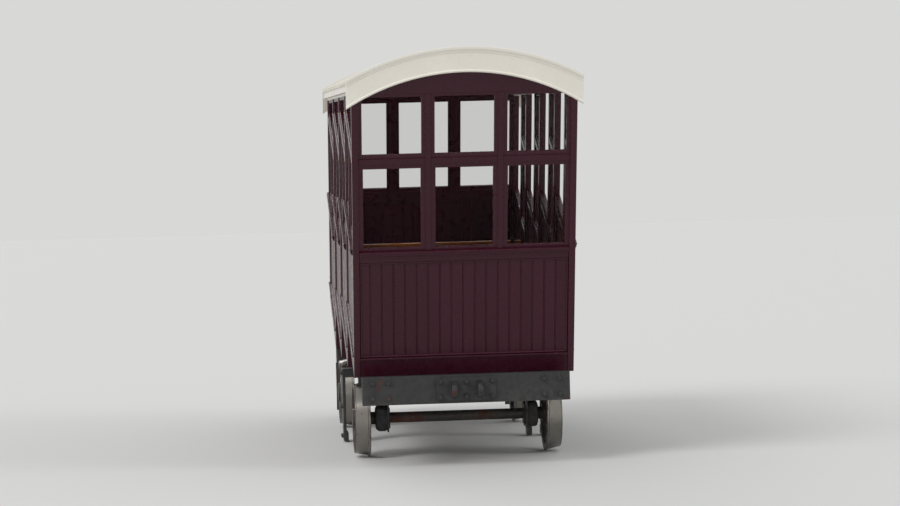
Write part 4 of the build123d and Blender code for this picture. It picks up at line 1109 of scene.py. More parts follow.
@dataclass
class Underframe:
    """Sole bars, headstocks, bearers, guards and brakes, with their fastenings.

    A strap is given by its width, thickness and length, and the bolts of a rail guard by how
    far inside the headstock's face and how far from the car's middle they are.
    """

    web_y: float = 0.57
    knee: float = 0.15
    knee_plate: float = 0.008
    knee_edge: float = 0.02
    knee_round: float = 0.002
    knee_bolts: Span = (0.045, 0.115)
    knee_bolts_z: Span = (0.565, 0.649)
    knee_bolt: float = 0.024
    members: tuple[float, ...] = (-1.9, -0.7, 0.0, 0.7, 1.9)
    rivet_step: float = 0.05
    rivets_z: Point = (0.558, 0.607, 0.656)
    rivet: float = 0.011
    guard_bolts: tuple[float, ...] = (-0.165, -0.06, 0.06, 0.165)
    guard_bolts_z: Span = (0.56, 0.65)
    guard_bolt: float = 0.022
    bearer_y: float = 0.6375
    bearer: float = 0.075
    strap: Point = (0.05, 0.006, 0.148)
    strap_edge: float = 0.012
    strap_round: float = 0.0015
    strap_bolts: float = 0.035
    strap_bolt: float = 0.02
    head_strap: float = 0.2
    ties: Span = (0.2, 0.42)
    tie_bolt: float = 0.018
    beam_bolts_y: Span = (0.6, 0.72)
    beam_bolts_step: float = 0.06
    beam_bolt: float = 0.032
    pad: float = 0.016
    anchor_bolts_y: float = 0.2
    anchor_middle_step: float = 0.055
    anchor_bolt: float = 0.034
    buffer_y: float = 0.45
    buffer_bolts: float = 0.084
    buffer_bolt: float = 0.02
    rail_guard: Span = (0.05, 0.7715)
    rail_guard_step: float = 0.018
    rail_guard_z: Span = (0.44, 0.47)
    rail_guard_bolt: float = 0.016
    jaw_y: float = 0.8515
    jaw_bolts_step: float = 0.055
    jaw_bolts_z: Point = (0.05, 0.3, 0.58)
    jaw_bolt: float = 0.026

    def build(self) -> None:
        """Dresses the solids and adds fastenings."""
        irons = ("sole_bars", "cross_members", "rope_anchor", "rail_guards", "rail_brakes")
        dress(Slot.BLACK, 0.003, *irons, "axle_guards")
        dress(Slot.BLACK, 0.004, "headstocks", "bearer_struts", "level_bearers", "floor_joists")
        self.frame_bolts()
        self.strut_straps()
        self.end_bolts()
        self.buffers()

    def frame_bolts(self) -> None:
        """Adds knee plates in the frame's corners and the sole bars' rivets and bolts."""
        shape = Shape(INCLINE)
        low_z, high_z = CAR.sole_bottom + self.knee_edge, CAR.sole_top - self.knee_edge
        members = CAR.sole_middle + np.add.outer(self.members, self.rivet_step * BOTH)
        guards = np.add.outer(CAR.axle_x, self.guard_bolts)
        for side in BOTH:
            web = side * self.web_y
            face = web + side * self.knee_plate
            for end, way in ((CAR.sole_low, 1), (CAR.sole_high, -1)):
                far = end + way * self.knee
                shape.blocks((end, web, low_z), (far, face, high_z), self.knee_round)
                along = end + way * np.array(self.knee_bolts)
                shape.bolts(spots(along, face, self.knee_bolts_z), 1, side, self.knee_bolt)
            shape.domes(spots(members.ravel(), web, self.rivets_z), 1, side, self.rivet)
            spread = spots(guards.ravel(), web, self.guard_bolts_z)
            shape.bolts(spread, 1, side, self.guard_bolt)
        shape.piece("frame_knees_and_bolts", Slot.BLACK)

    def strut_straps(self) -> None:
        """Adds an iron strap and bolts at the foot and head of each strut."""
        shape = Shape(CAR.body())
        width, thick, long = self.strap
        half = self.bearer / 2
        sole = (CAR.sole_top - CAR.floor_z) / math.cos(CAR.slope)
        for side in BOTH:
            face = side * self.bearer_y
            front = face + side * thick
            for bay in range(CAR.bays):
                near = bay * CAR.depth + self.strap_edge
                foot = sole + (near + half) * math.tan(CAR.slope) + self.strap_edge
                head = bay * CAR.rise + CAR.joist_bottom
                u = near + self.strap_edge
                straps = (foot, foot + long), (head - self.head_strap, head - self.strap_edge)
                for low, high in straps:
                    opposite = (u + width, front, high)
                    shape.blocks((u, face, low), opposite, self.strap_round, 2)
                    ends = (low + self.strap_bolts, high - self.strap_bolts)
                    middle = spots(u + width / 2, front, ends)
                    shape.bolts(middle, 1, side, self.strap_bolt)
                ties = spots(near + np.array(self.ties), face, head - half)
                shape.bolts(ties, 1, side, self.tie_bolt)
        shape.piece("strut_straps", Slot.BLACK)

    def end_bolts(self) -> None:
        """Adds the bolts of headstocks, buffers, rope anchor, rail guards and brakes."""
        shape = Shape(INCLINE)
        uphill, downhill = CAR.sole_high + CAR.headstock, CAR.sole_low - CAR.headstock
        outer = self.beam_bolts_y[1] * BOTH
        inner = self.beam_bolts_y[0] * BOTH
        pair = CAR.beam_z + self.beam_bolts_step * BOTH
        shape.bolts(spots(uphill, (*outer, *inner), pair), 0, 1, self.beam_bolt)
        shape.bolts(spots(downhill, outer, pair), 0, -1, self.beam_bolt)
        corners = spots(uphill + self.pad, self.anchor_bolts_y * BOTH, pair)
        shape.bolts(corners, 0, 1, self.anchor_bolt)
        between = CAR.beam_z + self.anchor_middle_step * BOTH
        shape.bolts(spots(uphill + self.pad, 0.0, between), 0, 1, self.anchor_bolt)
        inset, guard_y = self.rail_guard
        middle = CAR.sole_middle + self.jaw_bolts_step * BOTH
        for side in BOTH:
            foot = (downhill - self.pad, side * self.buffer_y, CAR.beam_z)
            flange = ring(foot, self.buffer_bolts, DIAGONALS, 0)
            shape.bolts(flange, 0, -1, self.buffer_bolt)
            across = side * guard_y + self.rail_guard_step * BOTH
            guard = spots(downhill + inset, across, self.rail_guard_z)
            shape.bolts(guard, 0, -1, self.rail_guard_bolt)
            jaw = spots(middle, side * self.jaw_y, self.jaw_bolts_z)
            shape.bolts(jaw, 1, side, self.jaw_bolt)
        shape.piece("end_bolts", Slot.BLACK)

    def buffers(self) -> None:
        """Turns the buffers' cast stocks and their forged heads.

        The head is domed: its face falls off by the square of the distance from its middle.
        """
        centres = spots(CAR.sole_low - CAR.headstock, self.buffer_y * BOTH, CAR.beam_z)
        flange = [(0.100, -0.002), (0.100, 0.013), (0.097, 0.016), (0.076, 0.016)]
        barrel = [(0.071, 0.019), (0.068, 0.026), (0.056, 0.128), (0.0565, 0.132)]
        collar = [(0.060, 0.135), (0.060, 0.147), (0.057, 0.150), (0.037, 0.150), (0.036, 0.140)]
        stocks = Shape(INCLINE)
        stocks.turned(flange + barrel + collar, centres, 0, -1, 48)
        stocks.piece("buffer_stocks", Slot.BLACK, stands_for=("buffers",))
        neck = [(0.034, 0.140), (0.034, 0.178), (0.036, 0.186), (0.044, 0.192), (0.060, 0.1955)]
        back = [(0.112, 0.197), (0.118, 0.199), (0.120, 0.204), (0.120, 0.210), (0.117, 0.2155)]
        spread = np.linspace(1.0, 0.02, 9)
        fall = 0.014 * (0.112 / 0.120 * spread) ** 2
        dome = np.stack([0.112 * spread, 0.230 - fall], -1)
        heads = Shape(INCLINE)
        heads.turned(np.concatenate([neck, back, dome]), centres, 0, -1, 64)
        heads.piece("buffer_heads", Slot.BLACK, stands_for=("buffers",), finish=WORN_STEEL.build())


@dataclass
class RunningGear:
    """Wheels, axles, boxes and leaf springs.

    Buckles, shoes and clips are given as half length, half width and height. The fittings of
    a box are its oil lid, its rib and its keep, as corners from its middle and their round.
    """

    back_y: float = 0.699
    face_y: float = 0.824
    spokes: int = 8
    hub_y: Span = (0.689, 0.834)
    rivet_ring: float = 0.2435
    rivet: float = 0.0065
    leaves: int = 5
    leaf_thick: float = 0.009
    leaf_half_width: float = 0.035
    leaf_step: float = 0.062
    half_span: float = 0.37
    camber: float = 0.043
    box_top: float = 0.095
    spring_y: float = 0.6
    buckle: Point = (0.032, 0.04, 0.01)
    buckle_rivet: Span = (0.022, 0.012)
    buckle_round: float = 0.004
    shoe: Point = (0.028, 0.035, 0.016)
    clip: Point = (0.02, 0.039, 0.016)
    shoe_round: float = 0.003
    clip_lap: float = 0.001
    clip_bolt: float = 0.014
    box_face_y: float = 0.64
    cover_ring: float = 0.08932
    cover_bolt: float = 0.013
    fittings: tuple[tuple[Point, Point, float], ...] = (
        ((0.052, -0.026, 0.020), (0.099, 0.026, 0.072), 0.005),
        ((-0.099, -0.014, -0.070), (-0.060, 0.014, 0.070), 0.005),
        ((-0.060, -0.030, -0.103), (0.060, 0.030, -0.090), 0.004),
    )

    def build(self) -> None:
        """Builds each wheelset and the springs and boxes over it."""
        dress(Slot.WHEEL, 0.002, "axle_lower", "axle_upper")
        dress(Slot.CASTING, 0.004, "axle_boxes")
        tread = TREAD.build()
        for x, end in zip(CAR.axle_x, End):
            for side in Side:
                self.wheel(x, side, end, tread)
        self.springs()
        self.boxes()

    def tyre_profile(self) -> Array:
        """Section of a worn tyre: half an ellipse for the flange's tip, a quarter for its throat.

        From the throat the tread is coned and falls away to the outer face.

        Returns:
            Radius and distance from the middle of the car (n, 2).
        """
        back, face = self.back_y, self.face_y
        tip = np.linspace(0.0, math.pi, 7)
        flange = np.stack([0.2975 + 0.0105 * np.sin(tip), back + 0.009 * (1 - np.cos(tip))], -1)
        bend = np.linspace(0.0, QUARTER, 5)
        throat_y = back + 0.0325 - 0.0085 * np.cos(bend)
        throat = np.stack([0.2905 - 0.0105 * np.sin(bend), throat_y], -1)
        cone = [(0.2795, back + 0.05), (0.277, face - 0.012), (0.2755, face - 0.006)]
        return np.concatenate([flange, throat, cone])

    def rim_profile(self) -> Array:
        """Section of the rim: its seat in the tyre, a retaining ring and a rounded inside.

        Returns:
            Closed profile of radius and distance from the middle of the car (n, 2).
        """
        back, face, middle = self.back_y, self.face_y, (self.back_y + self.face_y) / 2
        seat = [(0.2965, back), (0.2965, back + 0.004), (0.2700, back + 0.030)]
        edge = [(0.2745, face - 0.007), (0.2750, face - 0.005), (0.2710, face), (0.2540, face)]
        groove = [(0.2520, face - 0.002), (0.2520, face - 0.006), (0.2505, face - 0.006)]
        lip = [(0.2505, face - 0.004), (0.243, face - 0.004), (0.240, face - 0.012)]
        bore = [(0.2365, face - 0.020), (0.2350, middle + 0.024), (0.2335, middle)]
        foot = [(0.2350, middle - 0.024), (0.2365, back + 0.022), (0.242, back + 0.006)]
        return np.array(seat + edge + groove + lip + bore + foot + [(0.250, back + 0.001)])

    def hub_profile(self) -> Array:
        """Section of the hub: bossed on both sides, with the axle's end and its centre hole.

        Returns:
            Profile of radius and distance from the middle of the car (n, 2).
        """
        low, high = self.hub_y
        middle = (self.back_y + self.face_y) / 2
        boss = [(0.050, low), (0.074, low), (0.079, low + 0.005), (0.082, low + 0.030)]
        swell = [(0.092, middle - 0.026), (0.094, middle), (0.092, middle + 0.026)]
        face = [(0.082, high - 0.030), (0.079, high - 0.005), (0.074, high), (0.051, high)]
        seat = [(0.051, high - 0.004), (0.046, high - 0.004), (0.046, high - 0.001)]
        hole = [(0.012, high - 0.001), (0.007, high - 0.008)]
        return np.array(boss + swell + face + seat + hole)

    def spoke(self) -> Array:
        """Surface of one spoke along the wheel's local x.

        Its section is an ellipse whose half width and half depth shrink from hub to rim and
        flare at both ends as the square of the distance into the flare.

        Returns:
            Points (rows, columns, 3): along, across in the wheel's plane, along the axle.
        """
        share = np.linspace(0.0, 1.0, 15)[:, None]
        turn = np.linspace(0.0, ROUND, 20, endpoint=False)
        ends = np.clip(1 - share / 0.22, 0, 1) ** 2 + np.clip((share - 0.76) / 0.24, 0, 1) ** 2
        half_width = 0.030 - 0.010 * share + 0.011 * ends
        half_depth = 0.019 - 0.004 * share + 0.0066 * ends
        points = np.empty((len(share), len(turn), 3))
        points[..., 0] = 0.084 + 0.158 * share
        points[..., 1] = half_width * np.cos(turn)
        points[..., 2] = half_depth * np.sign(np.sin(turn)) * np.abs(np.sin(turn)) ** 0.8
        return points

    def wheel(self, x: float, side: Side, end: End, tread: bpy.types.Material) -> None:
        """Builds one wheel: bright tyre, rim with its retaining ring, spokes and hub.

        Args:
            x: place of the axle.
            side: side of the car.
            end: end of the car.
            tread: finish of the tyre.
        """
        centre = (x, 0.0, CAR.axle_z)
        label, body = f"{end.label}_{side.label}", f"{end.label}_wheelset"
        tyre = Shape(INCLINE)
        tyre.turned(self.tyre_profile(), centre, 1, side.value, 96, hollow=True)
        tyre.piece(f"tread_{label}", Slot.WHEEL, body, finish=tread)
        shape = Shape(INCLINE)
        shape.turned(self.rim_profile(), centre, 1, side.value, 72, hollow=True)
        shape.turned(self.hub_profile(), centre, 1, side.value, 48)
        turn = np.arange(self.spokes) * ROUND / self.spokes
        cos, sin = np.cos(turn)[:, None, None], np.sin(turn)[:, None, None]
        along, across, out = np.moveaxis(self.spoke(), -1, 0)
        points = np.empty((self.spokes,) + along.shape + (3,))
        points[..., 0] = x + along * cos - across * sin
        points[..., 1] = side.value * (self.back_y + self.face_y) / 2 + out
        points[..., 2] = CAR.axle_z + along * sin + across * cos
        shape.grid(points)
        lip = (x, side.value * (self.face_y - 0.004), CAR.axle_z)
        rivets = ring(lip, self.rivet_ring, turn + math.pi / self.spokes, 1)
        shape.domes(rivets, 1, side.value, self.rivet)
        shape.piece(f"wheel_centre_{label}", Slot.WHEEL, body, (f"wheel_{label}",))

    def leaf_stack(self) -> Array:
        """Surfaces of the leaves of one spring, the longest at the top.

        A leaf is a strip along an arc of one shared centre: at angle t it lies at radius r,
        x = r sin t and z = -r cos t, and its end is narrowed over the last tenth.

        Returns:
            Points (leaves, rows, columns, 3) from the middle of the top leaf's upper face.
        """
        radius = (self.half_span ** 2 + self.camber ** 2) / (2 * self.camber)
        corners = [(-1, -0.5), (-0.96, -0.9), (0.96, -0.9), (1, -0.5)]
        section = np.array(corners + [(-y, -z) for y, z in corners])
        leaf = np.arange(self.leaves)[:, None, None]
        share = np.linspace(-1.0, 1.0, 33)[:, None]
        turn = share * np.arcsin((self.half_span - leaf * self.leaf_step) / radius)
        taper = 1 - 0.45 * np.clip((np.abs(share) - 0.93) / 0.07, 0, 1) ** 2
        distance = radius + (leaf + 0.5 + section[:, 1] / 2) * self.leaf_thick
        points = np.empty(turn.shape[:2] + (len(section), 3))
        points[..., 0] = distance * np.sin(turn)
        points[..., 1] = self.leaf_half_width * section[:, 0] * taper
        points[..., 2] = radius - distance * np.cos(turn)
        return points

    def springs(self) -> None:
        """Builds leaves, buckles and shoes."""
        seat = CAR.axle_z + self.box_top
        long, wide, over = self.buckle
        shoe_long, shoe_wide, shoe_drop = self.shoe
        clip_long, clip_wide, clip_thick = self.clip
        top = seat + over + self.leaves * self.leaf_thick
        foot = top + self.camber - shoe_drop
        drop, rivet = self.buckle_rivet
        leaves, irons = Shape(INCLINE), Shape(INCLINE)
        stack = self.leaf_stack()
        for x in CAR.axle_x:
            for side in BOTH:
                y = side * self.spring_y
                leaves.grid(stack + (x, y, top))
                cap = (x + long, y + wide, top + over)
                irons.blocks((x - long, y - wide, seat), cap, self.buckle_round)
                irons.domes((x, y + side * wide, top - drop), 1, side, rivet)
                for shoe in x + BOTH * (self.half_span - shoe_long):
                    head = (shoe + shoe_long, y + shoe_wide, CAR.sole_bottom)
                    low = (shoe - shoe_long, y - shoe_wide, foot)
                    irons.blocks(low, head, self.shoe_round)
                    clip = (shoe + clip_long, y + clip_wide, foot - self.clip_lap)
                    low = (shoe - clip_long, y - clip_wide, foot - clip_thick)
                    irons.blocks(low, clip, self.shoe_round)
                    pin = (shoe, y + side * clip_wide, foot - clip_thick / 2)
                    irons.bolts(pin, 1, side, self.clip_bolt)
        leaves.piece("spring_leaves", Slot.SPRING, stands_for=("leaf_springs",))
        irons.piece("spring_buckles", Slot.CASTING)

    def boxes(self) -> None:
        """Adds covers with their bolts, lids, ribs and keeps to the axle boxes."""
        shape = Shape(INCLINE)
        cover = [(0.088, -0.002), (0.088, 0.008), (0.080, 0.0105), (0.066, 0.0105)]
        cover += [(0.0645, 0.0065), (0.0455, 0.0065), (0.0455, -0.002)]
        for x in CAR.axle_x:
            for side in BOTH:
                face = (x, side * self.box_face_y, CAR.axle_z)
                shape.turned(cover, face, 1, side, 48)
                shape.bolts(ring(face, self.cover_ring, DIAGONALS, 1), 1, side, self.cover_bolt)
                middle = np.array((x, side * self.spring_y, CAR.axle_z))
                for low, high, radius in self.fittings:
                    shape.blocks(middle + low, middle + high, radius)
        shape.piece("axle_box_covers", Slot.CASTING)


@dataclass
class Floors:
    """Planked floors with rounded, brass-shod nosings, and boarded risers.

    A nosing iron is given from and to uphill of the nosing and over the floor, and its ribs
    by their width, their distance from the wall and their height.
    """

    thick: float = 0.038
    planks: int = 9
    gap: float = 0.002
    end_gap: float = 0.025
    nosing: float = 0.037
    nosing_round: float = 0.012
    plank_round: float = 0.0025
    riser_half: float = 0.012
    riser_board: float = 0.1
    iron: Span = (0.013, 0.053)
    iron_z: Span = (-0.001, 0.003)
    iron_end: float = 0.01
    iron_round: float = 0.001
    rib: Point = (0.004, 0.012, 0.0025)
    rib_z: float = 0.002
    rib_start: float = 0.02
    rib_pitch: float = 0.008
    rib_round: float = 0.0012
    ribs: int = 4

    def build(self) -> None:
        """Builds planks, nosing irons and risers for every bay."""
        planks, irons = Shape(CAR.body()), Shape(CAR.body())
        risers = Shape(CAR.end(0.0, End.LOWER))
        width = CAR.inner
        for bay in range(CAR.bays):
            first, last = bay == 0, bay == CAR.bays - 1
            near = self.end_gap if first else bay * CAR.depth - self.nosing
            far = (bay + 1) * CAR.depth + (-self.end_gap if last else self.riser_half)
            top = bay * CAR.rise
            edges = np.linspace(near, far, self.planks + 1)
            low = spots(edges[:-1] + self.gap / 2, -width, top - self.thick)
            high = spots(edges[1:] - self.gap / 2, width, top)
            if not first:
                foot = (near, -width, top - self.thick)
                planks.blocks(foot, high[0], self.nosing_round, 1, 3)
                low, high = low[1:], high[1:]
                bed = (near + self.iron[0], self.iron_end - width, top + self.iron_z[0])
                face = (near + self.iron[1], width - self.iron_end, top + self.iron_z[1])
                irons.blocks(bed, face, self.iron_round)
                along = near + self.rib_start + np.arange(self.ribs) * self.rib_pitch
                thick, end, high_rib = self.rib
                ribs = spots(along, end - width, top + self.rib_z)
                far_ends = ribs * (1, -1, 1) + (thick, 0.0, high_rib)
                irons.blocks(ribs, far_ends, self.rib_round)
            planks.blocks(low, high, self.plank_round, 1)
        planks.piece("floor_planks", Slot.FLOOR, stands_for=("floors",))
        irons.piece("nosing_irons", Slot.BRASS)
        for bay in range(1, CAR.bays):
            height = ((bay - 1) * CAR.rise, bay * CAR.rise - self.thick)
            faces = (-bay * CAR.depth - self.riser_half, -bay * CAR.depth + self.riser_half)
            risers.matchboard((-width, width), height, faces, self.riser_board)
        risers.piece("riser_boards", Slot.MAROON, stands_for=("risers",))


@dataclass(frozen=True)
class Strip:
    """Section of a planed moulding over a wall's framing, with heights over its floor."""

    low: float
    high: float
    back: float
    front: float
    radius: float = 0.004
    over_post: bool = True


@dataclass
class Walls:
    """Side and end walls: framing, matchboarding, mouldings and sashes."""

    sill: Span = (CAR.joist_bottom, 0.06)
    waist: Span = (0.85, 0.93)
    transom: Span = (1.64, 1.69)
    door_post: Span = (0.675, 0.745)
    mullion_half: float = 0.02
    mullion_round: float = 0.006
    post_round: float = 0.005
    rail_round: float = 0.004
    end_mullion: Span = (0.251667, 0.296667)
    end_half: float = 0.025
    panel: Span = (-0.037, -0.013)
    board: float = 0.088
    bead_size: Span = (0.018, 0.011)
    sash: float = 0.034
    side_top_sash: float = 0.024
    end_top_sash: float = 0.028
    top_ovolo: float = 0.005
    strips: tuple[Strip, ...] = (
        Strip(0.905, 0.927, -0.002, 0.016, 0.006),
        Strip(0.893, 0.905, -0.002, 0.009),
        Strip(0.926, 0.940, -0.012, 0.020, over_post=False),
        Strip(0.046, 0.060, -0.002, 0.010),
    )
    near_post_bolts: tuple[float, ...] = (0.0, 0.12, 0.86, 1.665)
    far_post_bolts: tuple[float, ...] = (0.03, 0.8, 1.665)
    door_post_bolts: tuple[float, ...] = (0.0, 0.16, 0.82, 1.665)
    bolt: float = 0.0075

    def build(self) -> None:
        """Builds both sides and both ends."""
        for side in Side:
            self.framing(side)
            self.boarding(side)
        for side in Side:
            self.sashes(side)
        for end in End:
            self.end_wall(end)
        dress(Slot.CREAM, 0.003, "cant_rails", "eaves_mouldings")
        dress(Slot.MAROON, 0.003, "end_rails", "end_mullions")
        dress(Slot.GLASS, 0.0, "side_glass", "end_glass")

    def spans(self, side: Side) -> list[Span]:
        """Works out the fixed bays of a side.

        Args:
            side: which side.

        Returns:
            From and to uphill of each, between its posts.
        """
        start = CAR.post_half if side is Side.TRACK else self.door_post[1]
        starts = [bay * CAR.depth for bay in range(CAR.bays)]
        return [(near + start, near + CAR.depth - CAR.post_half) for near in starts]

    def framing(self, side: Side) -> None:
        """Builds posts, rails and mullions of one side as separate timbers.

        Args:
            side: which side.
        """
        shape = Shape(CAR.side(side))
        back, foot = -CAR.wall, CAR.joist_bottom
        lean = math.tan(CAR.slope)
        for step in range(CAR.bays + 1):
            u = step * CAR.depth
            low = (u - CAR.post_half, max(step - 1, 0) * CAR.rise + foot, back)
            high = (u + CAR.post_half, CAR.cant_line(u), 0.0)
            shape.blocks(low, high, self.post_round, 1, 2, lean)
        for bay, (from_u, to_u) in enumerate(self.spans(side)):
            start, floor = bay * CAR.depth, bay * CAR.rise
            if side is Side.PLATFORM:
                near, far = (start + edge for edge in self.door_post)
                high = (far, CAR.cant_line((near + far) / 2), 0.0)
                low = (near, floor + foot, back)
                shape.blocks(low, high, self.post_round, 1, 2, lean)
                low = (start + CAR.post_half, floor + foot, back)
                shape.blocks(low, (near, floor, 0.0), self.rail_round)
            for under, over in (self.sill, self.waist, self.transom):
                low, high = (from_u, floor + under, back), (to_u, floor + over, 0.0)
                shape.blocks(low, high, self.rail_round)
            if side is Side.TRACK:
                near, far = (start + CAR.depth / 2 + self.mullion_half * BOTH)
                low = (near, floor + self.waist[1], back)
                high = (far, floor + self.transom[0], 0.0)
                shape.blocks(low, high, self.mullion_round, 1, 2)
        gone = (f"{side.label}_posts", f"{side.label}_rails")
        if side is Side.TRACK:
            gone += ("side_mullions",)
        shape.piece(f"{side.label}_framing", Slot.MAROON, stands_for=gone)

    def panelling(
        self, boards: Shape, trim: Shape, span: Span, floor: float, overlap: float = 0.0
    ) -> None:
        """Adds a boarded panel, beads round both its faces, and strips over its framing.

        Args:
            boards: piece that takes the boards.
            trim: piece that takes beads and strips.
            span: from and to across the panel.
            floor: height of its floor.
            overlap: how far the strips run on over the post before it.
        """
        low, high = floor + self.sill[1], floor + self.waist[0]
        boards.matchboard(span, (low, high), self.panel, self.board)
        border, section = rectangle(*span, low, high), bead(*self.bead_size)
        trim.sweep(border, section, self.panel[1])
        trim.sweep(border, section * (1, -1), self.panel[0])
        for strip in self.strips:
            start = span[0] - overlap * strip.over_post
            high = (span[1], floor + strip.high, strip.front)
            trim.blocks((start, floor + strip.low, strip.back), high, strip.radius, 0, 2)

    def boarding(self, side: Side) -> None:
        """Builds the panels and mouldings of one side, and the coach bolts of its posts.

        Args:
            side: which side.
        """
        place = CAR.side(side)
        boards, trim, bolts = Shape(place), Shape(place), Shape(place)
        for bay, span in enumerate(self.spans(side)):
            near, floor = bay * CAR.depth, bay * CAR.rise
            self.panelling(boards, trim, span, floor, 2 * CAR.post_half)
            rows = [(near, self.near_post_bolts), (near + CAR.depth, self.far_post_bolts)]
            if side is Side.PLATFORM:
                rows.append((near + sum(self.door_post) / 2, self.door_post_bolts))
            for u, heights in rows:
                bolts.domes(spots(u, floor + np.array(heights), 0.0), 2, 1, self.bolt)
        boards.piece(f"{side.label}_matchboard", Slot.MAROON, stands_for=(f"{side.label}_panels",))
        trim.piece(f"{side.label}_mouldings", Slot.MAROON, stands_for=("waist_mouldings",))
        bolts.piece(f"{side.label}_coach_bolts", Slot.BRASS)

    def sashes(self, side: Side) -> None:
        """Builds a sash round each pane of one side; top lights follow the roof.

        Args:
            side: which side.
        """
        shape = Shape(CAR.side(side))
        for bay, (from_u, to_u) in enumerate(self.spans(side)):
            floor, middle = bay * CAR.rise, (bay + 0.5) * CAR.depth
            lights = [(from_u, to_u)]
            if side is Side.TRACK:
                near, far = middle + self.mullion_half * BOTH
                lights = [(from_u, near), (far, to_u)]
            low, high = floor + self.waist[1], floor + self.transom[0]
            panes = [rectangle(*light, low, high) for light in lights]
            shape.sweep(panes, sash_profile(self.sash))
            foot = floor + self.transom[1]
            head = [(u, CAR.cant_line(u)) for u in (to_u, from_u)]
            top = [(from_u, foot), (to_u, foot), *head]
            shape.sweep(top, sash_profile(self.side_top_sash, self.top_ovolo))
        shape.piece(f"{side.label}_sashes", Slot.MAROON)

    def end_wall(self, end: End) -> None:
        """Builds boarding, mouldings and sashes of one end; only the upper has a transom.

        Args:
            end: which end.
        """
        upper = end is End.UPPER
        level, floor = (CAR.length, (CAR.bays - 1) * CAR.rise) if upper else (0.0, 0.0)
        place = CAR.end(level + end.value * self.end_half, end)
        boards, trim, sashes = Shape(place), Shape(place), Shape(place)
        self.panelling(boards, trim, (-CAR.inner, CAR.inner), floor)
        near, far = self.end_mullion
        lights = ((-CAR.inner, -far), (-near, near), (far, CAR.inner))
        top = CAR.cant_line(level)
        rows = [(floor + self.waist[1], top, sash_profile(self.sash))]
        if upper:
            rows = [(floor + self.waist[1], floor + self.transom[0], sash_profile(self.sash))]
            section = sash_profile(self.end_top_sash, self.top_ovolo)
            rows.append((floor + self.transom[1], top, section))
        for low, high, section in rows:
            sashes.sweep([rectangle(*light, low, high) for light in lights], section)
        label = f"{end.label}_end"
        boards.piece(f"{label}_matchboard", Slot.MAROON, stands_for=("end_panels",))
        trim.piece(f"{label}_mouldings", Slot.MAROON, stands_for=("waist_mouldings",))
        sashes.piece(f"{label}_sashes", Slot.MAROON)


@dataclass
class Doors:
    """Half-height doors, framed and boarded, with the screws of their straps."""

    width: float = 0.63
    height: float = 0.94
    thick: float = 0.04
    gap: float = 0.005
    stile: float = 0.075
    stile_round: float = 0.004
    board: float = 0.08
    rebate: float = 0.01
    moulding: Span = (0.02, 0.0125)
    moulding_seat: float = 0.0095
    strap_heights: Span = (0.15, 0.79)
    strap_screws: tuple[float, ...] = (0.05, 0.12, 0.19, 0.235)
    strap_face: float = 0.004
    strap_screw: float = 0.005
    handle: Span = (0.04, 0.8)
    rose_screws: float = 0.016
    rose_face: float = 0.008
    rose_screw: float = 0.0025

    def build(self) -> None:
        """Builds the four doors on their own bodies."""
        for bay in range(CAR.bays):
            self.door(bay)
        dress(Slot.BRASS, 0.0015, *(f"door_fittings_{bay + 1}" for bay in range(CAR.bays)))
        dress(Slot.BLACK, 0.0008, "hinge_pins")

    def door(self, bay: int) -> None:
        """Builds one door: stiles and rails, boarded field with its moulding, and screws.

        Args:
            bay: number of its bay, from 0.
        """
        name, back = f"door_{bay + 1}", -self.thick
        near = bay * CAR.depth + CAR.post_half + self.gap
        far = near + self.width
        low = bay * CAR.rise + self.gap
        high = low + self.height
        left, right = near + self.stile, far - self.stile
        foot, head = low + self.stile, high - self.stile
        shape = Shape(CAR.side(Side.PLATFORM))
        stiles = [(near, low, back), (right, low, back)], [(left, high, 0.0), (far, high, 0.0)]
        shape.blocks(*stiles, self.stile_round, 1, 2)
        rails = [(left, low, back), (left, head, back)], [(right, foot, 0.0), (right, high, 0.0)]
        shape.blocks(*rails, self.stile_round, 0, 2)
        faces = (back + self.rebate, -self.rebate)
        shape.matchboard((left, right), (foot, head), faces, self.board)
        field, moulding = rectangle(left, right, foot, head), bead(*self.moulding)
        shape.sweep(field, moulding, -self.moulding_seat)
        shape.sweep(field, moulding * (1, -1), back + self.moulding_seat)
        shape.piece(f"{name}_joinery", Slot.MAROON, name, (name,))
        screws = Shape(CAR.side(Side.PLATFORM))
        along = near - self.gap / 2 + np.array(self.strap_screws)
        heights = bay * CAR.rise + np.array(self.strap_heights)
        screws.domes(spots(along, heights, self.strap_face), 2, 1, self.strap_screw)
        rose = (far - self.handle[0], low + self.handle[1], self.rose_face)
        screws.domes(ring(rose, self.rose_screws, THIRDS), 2, 1, self.rose_screw)
        screws.piece(f"{name}_screws", Slot.BRASS, name)


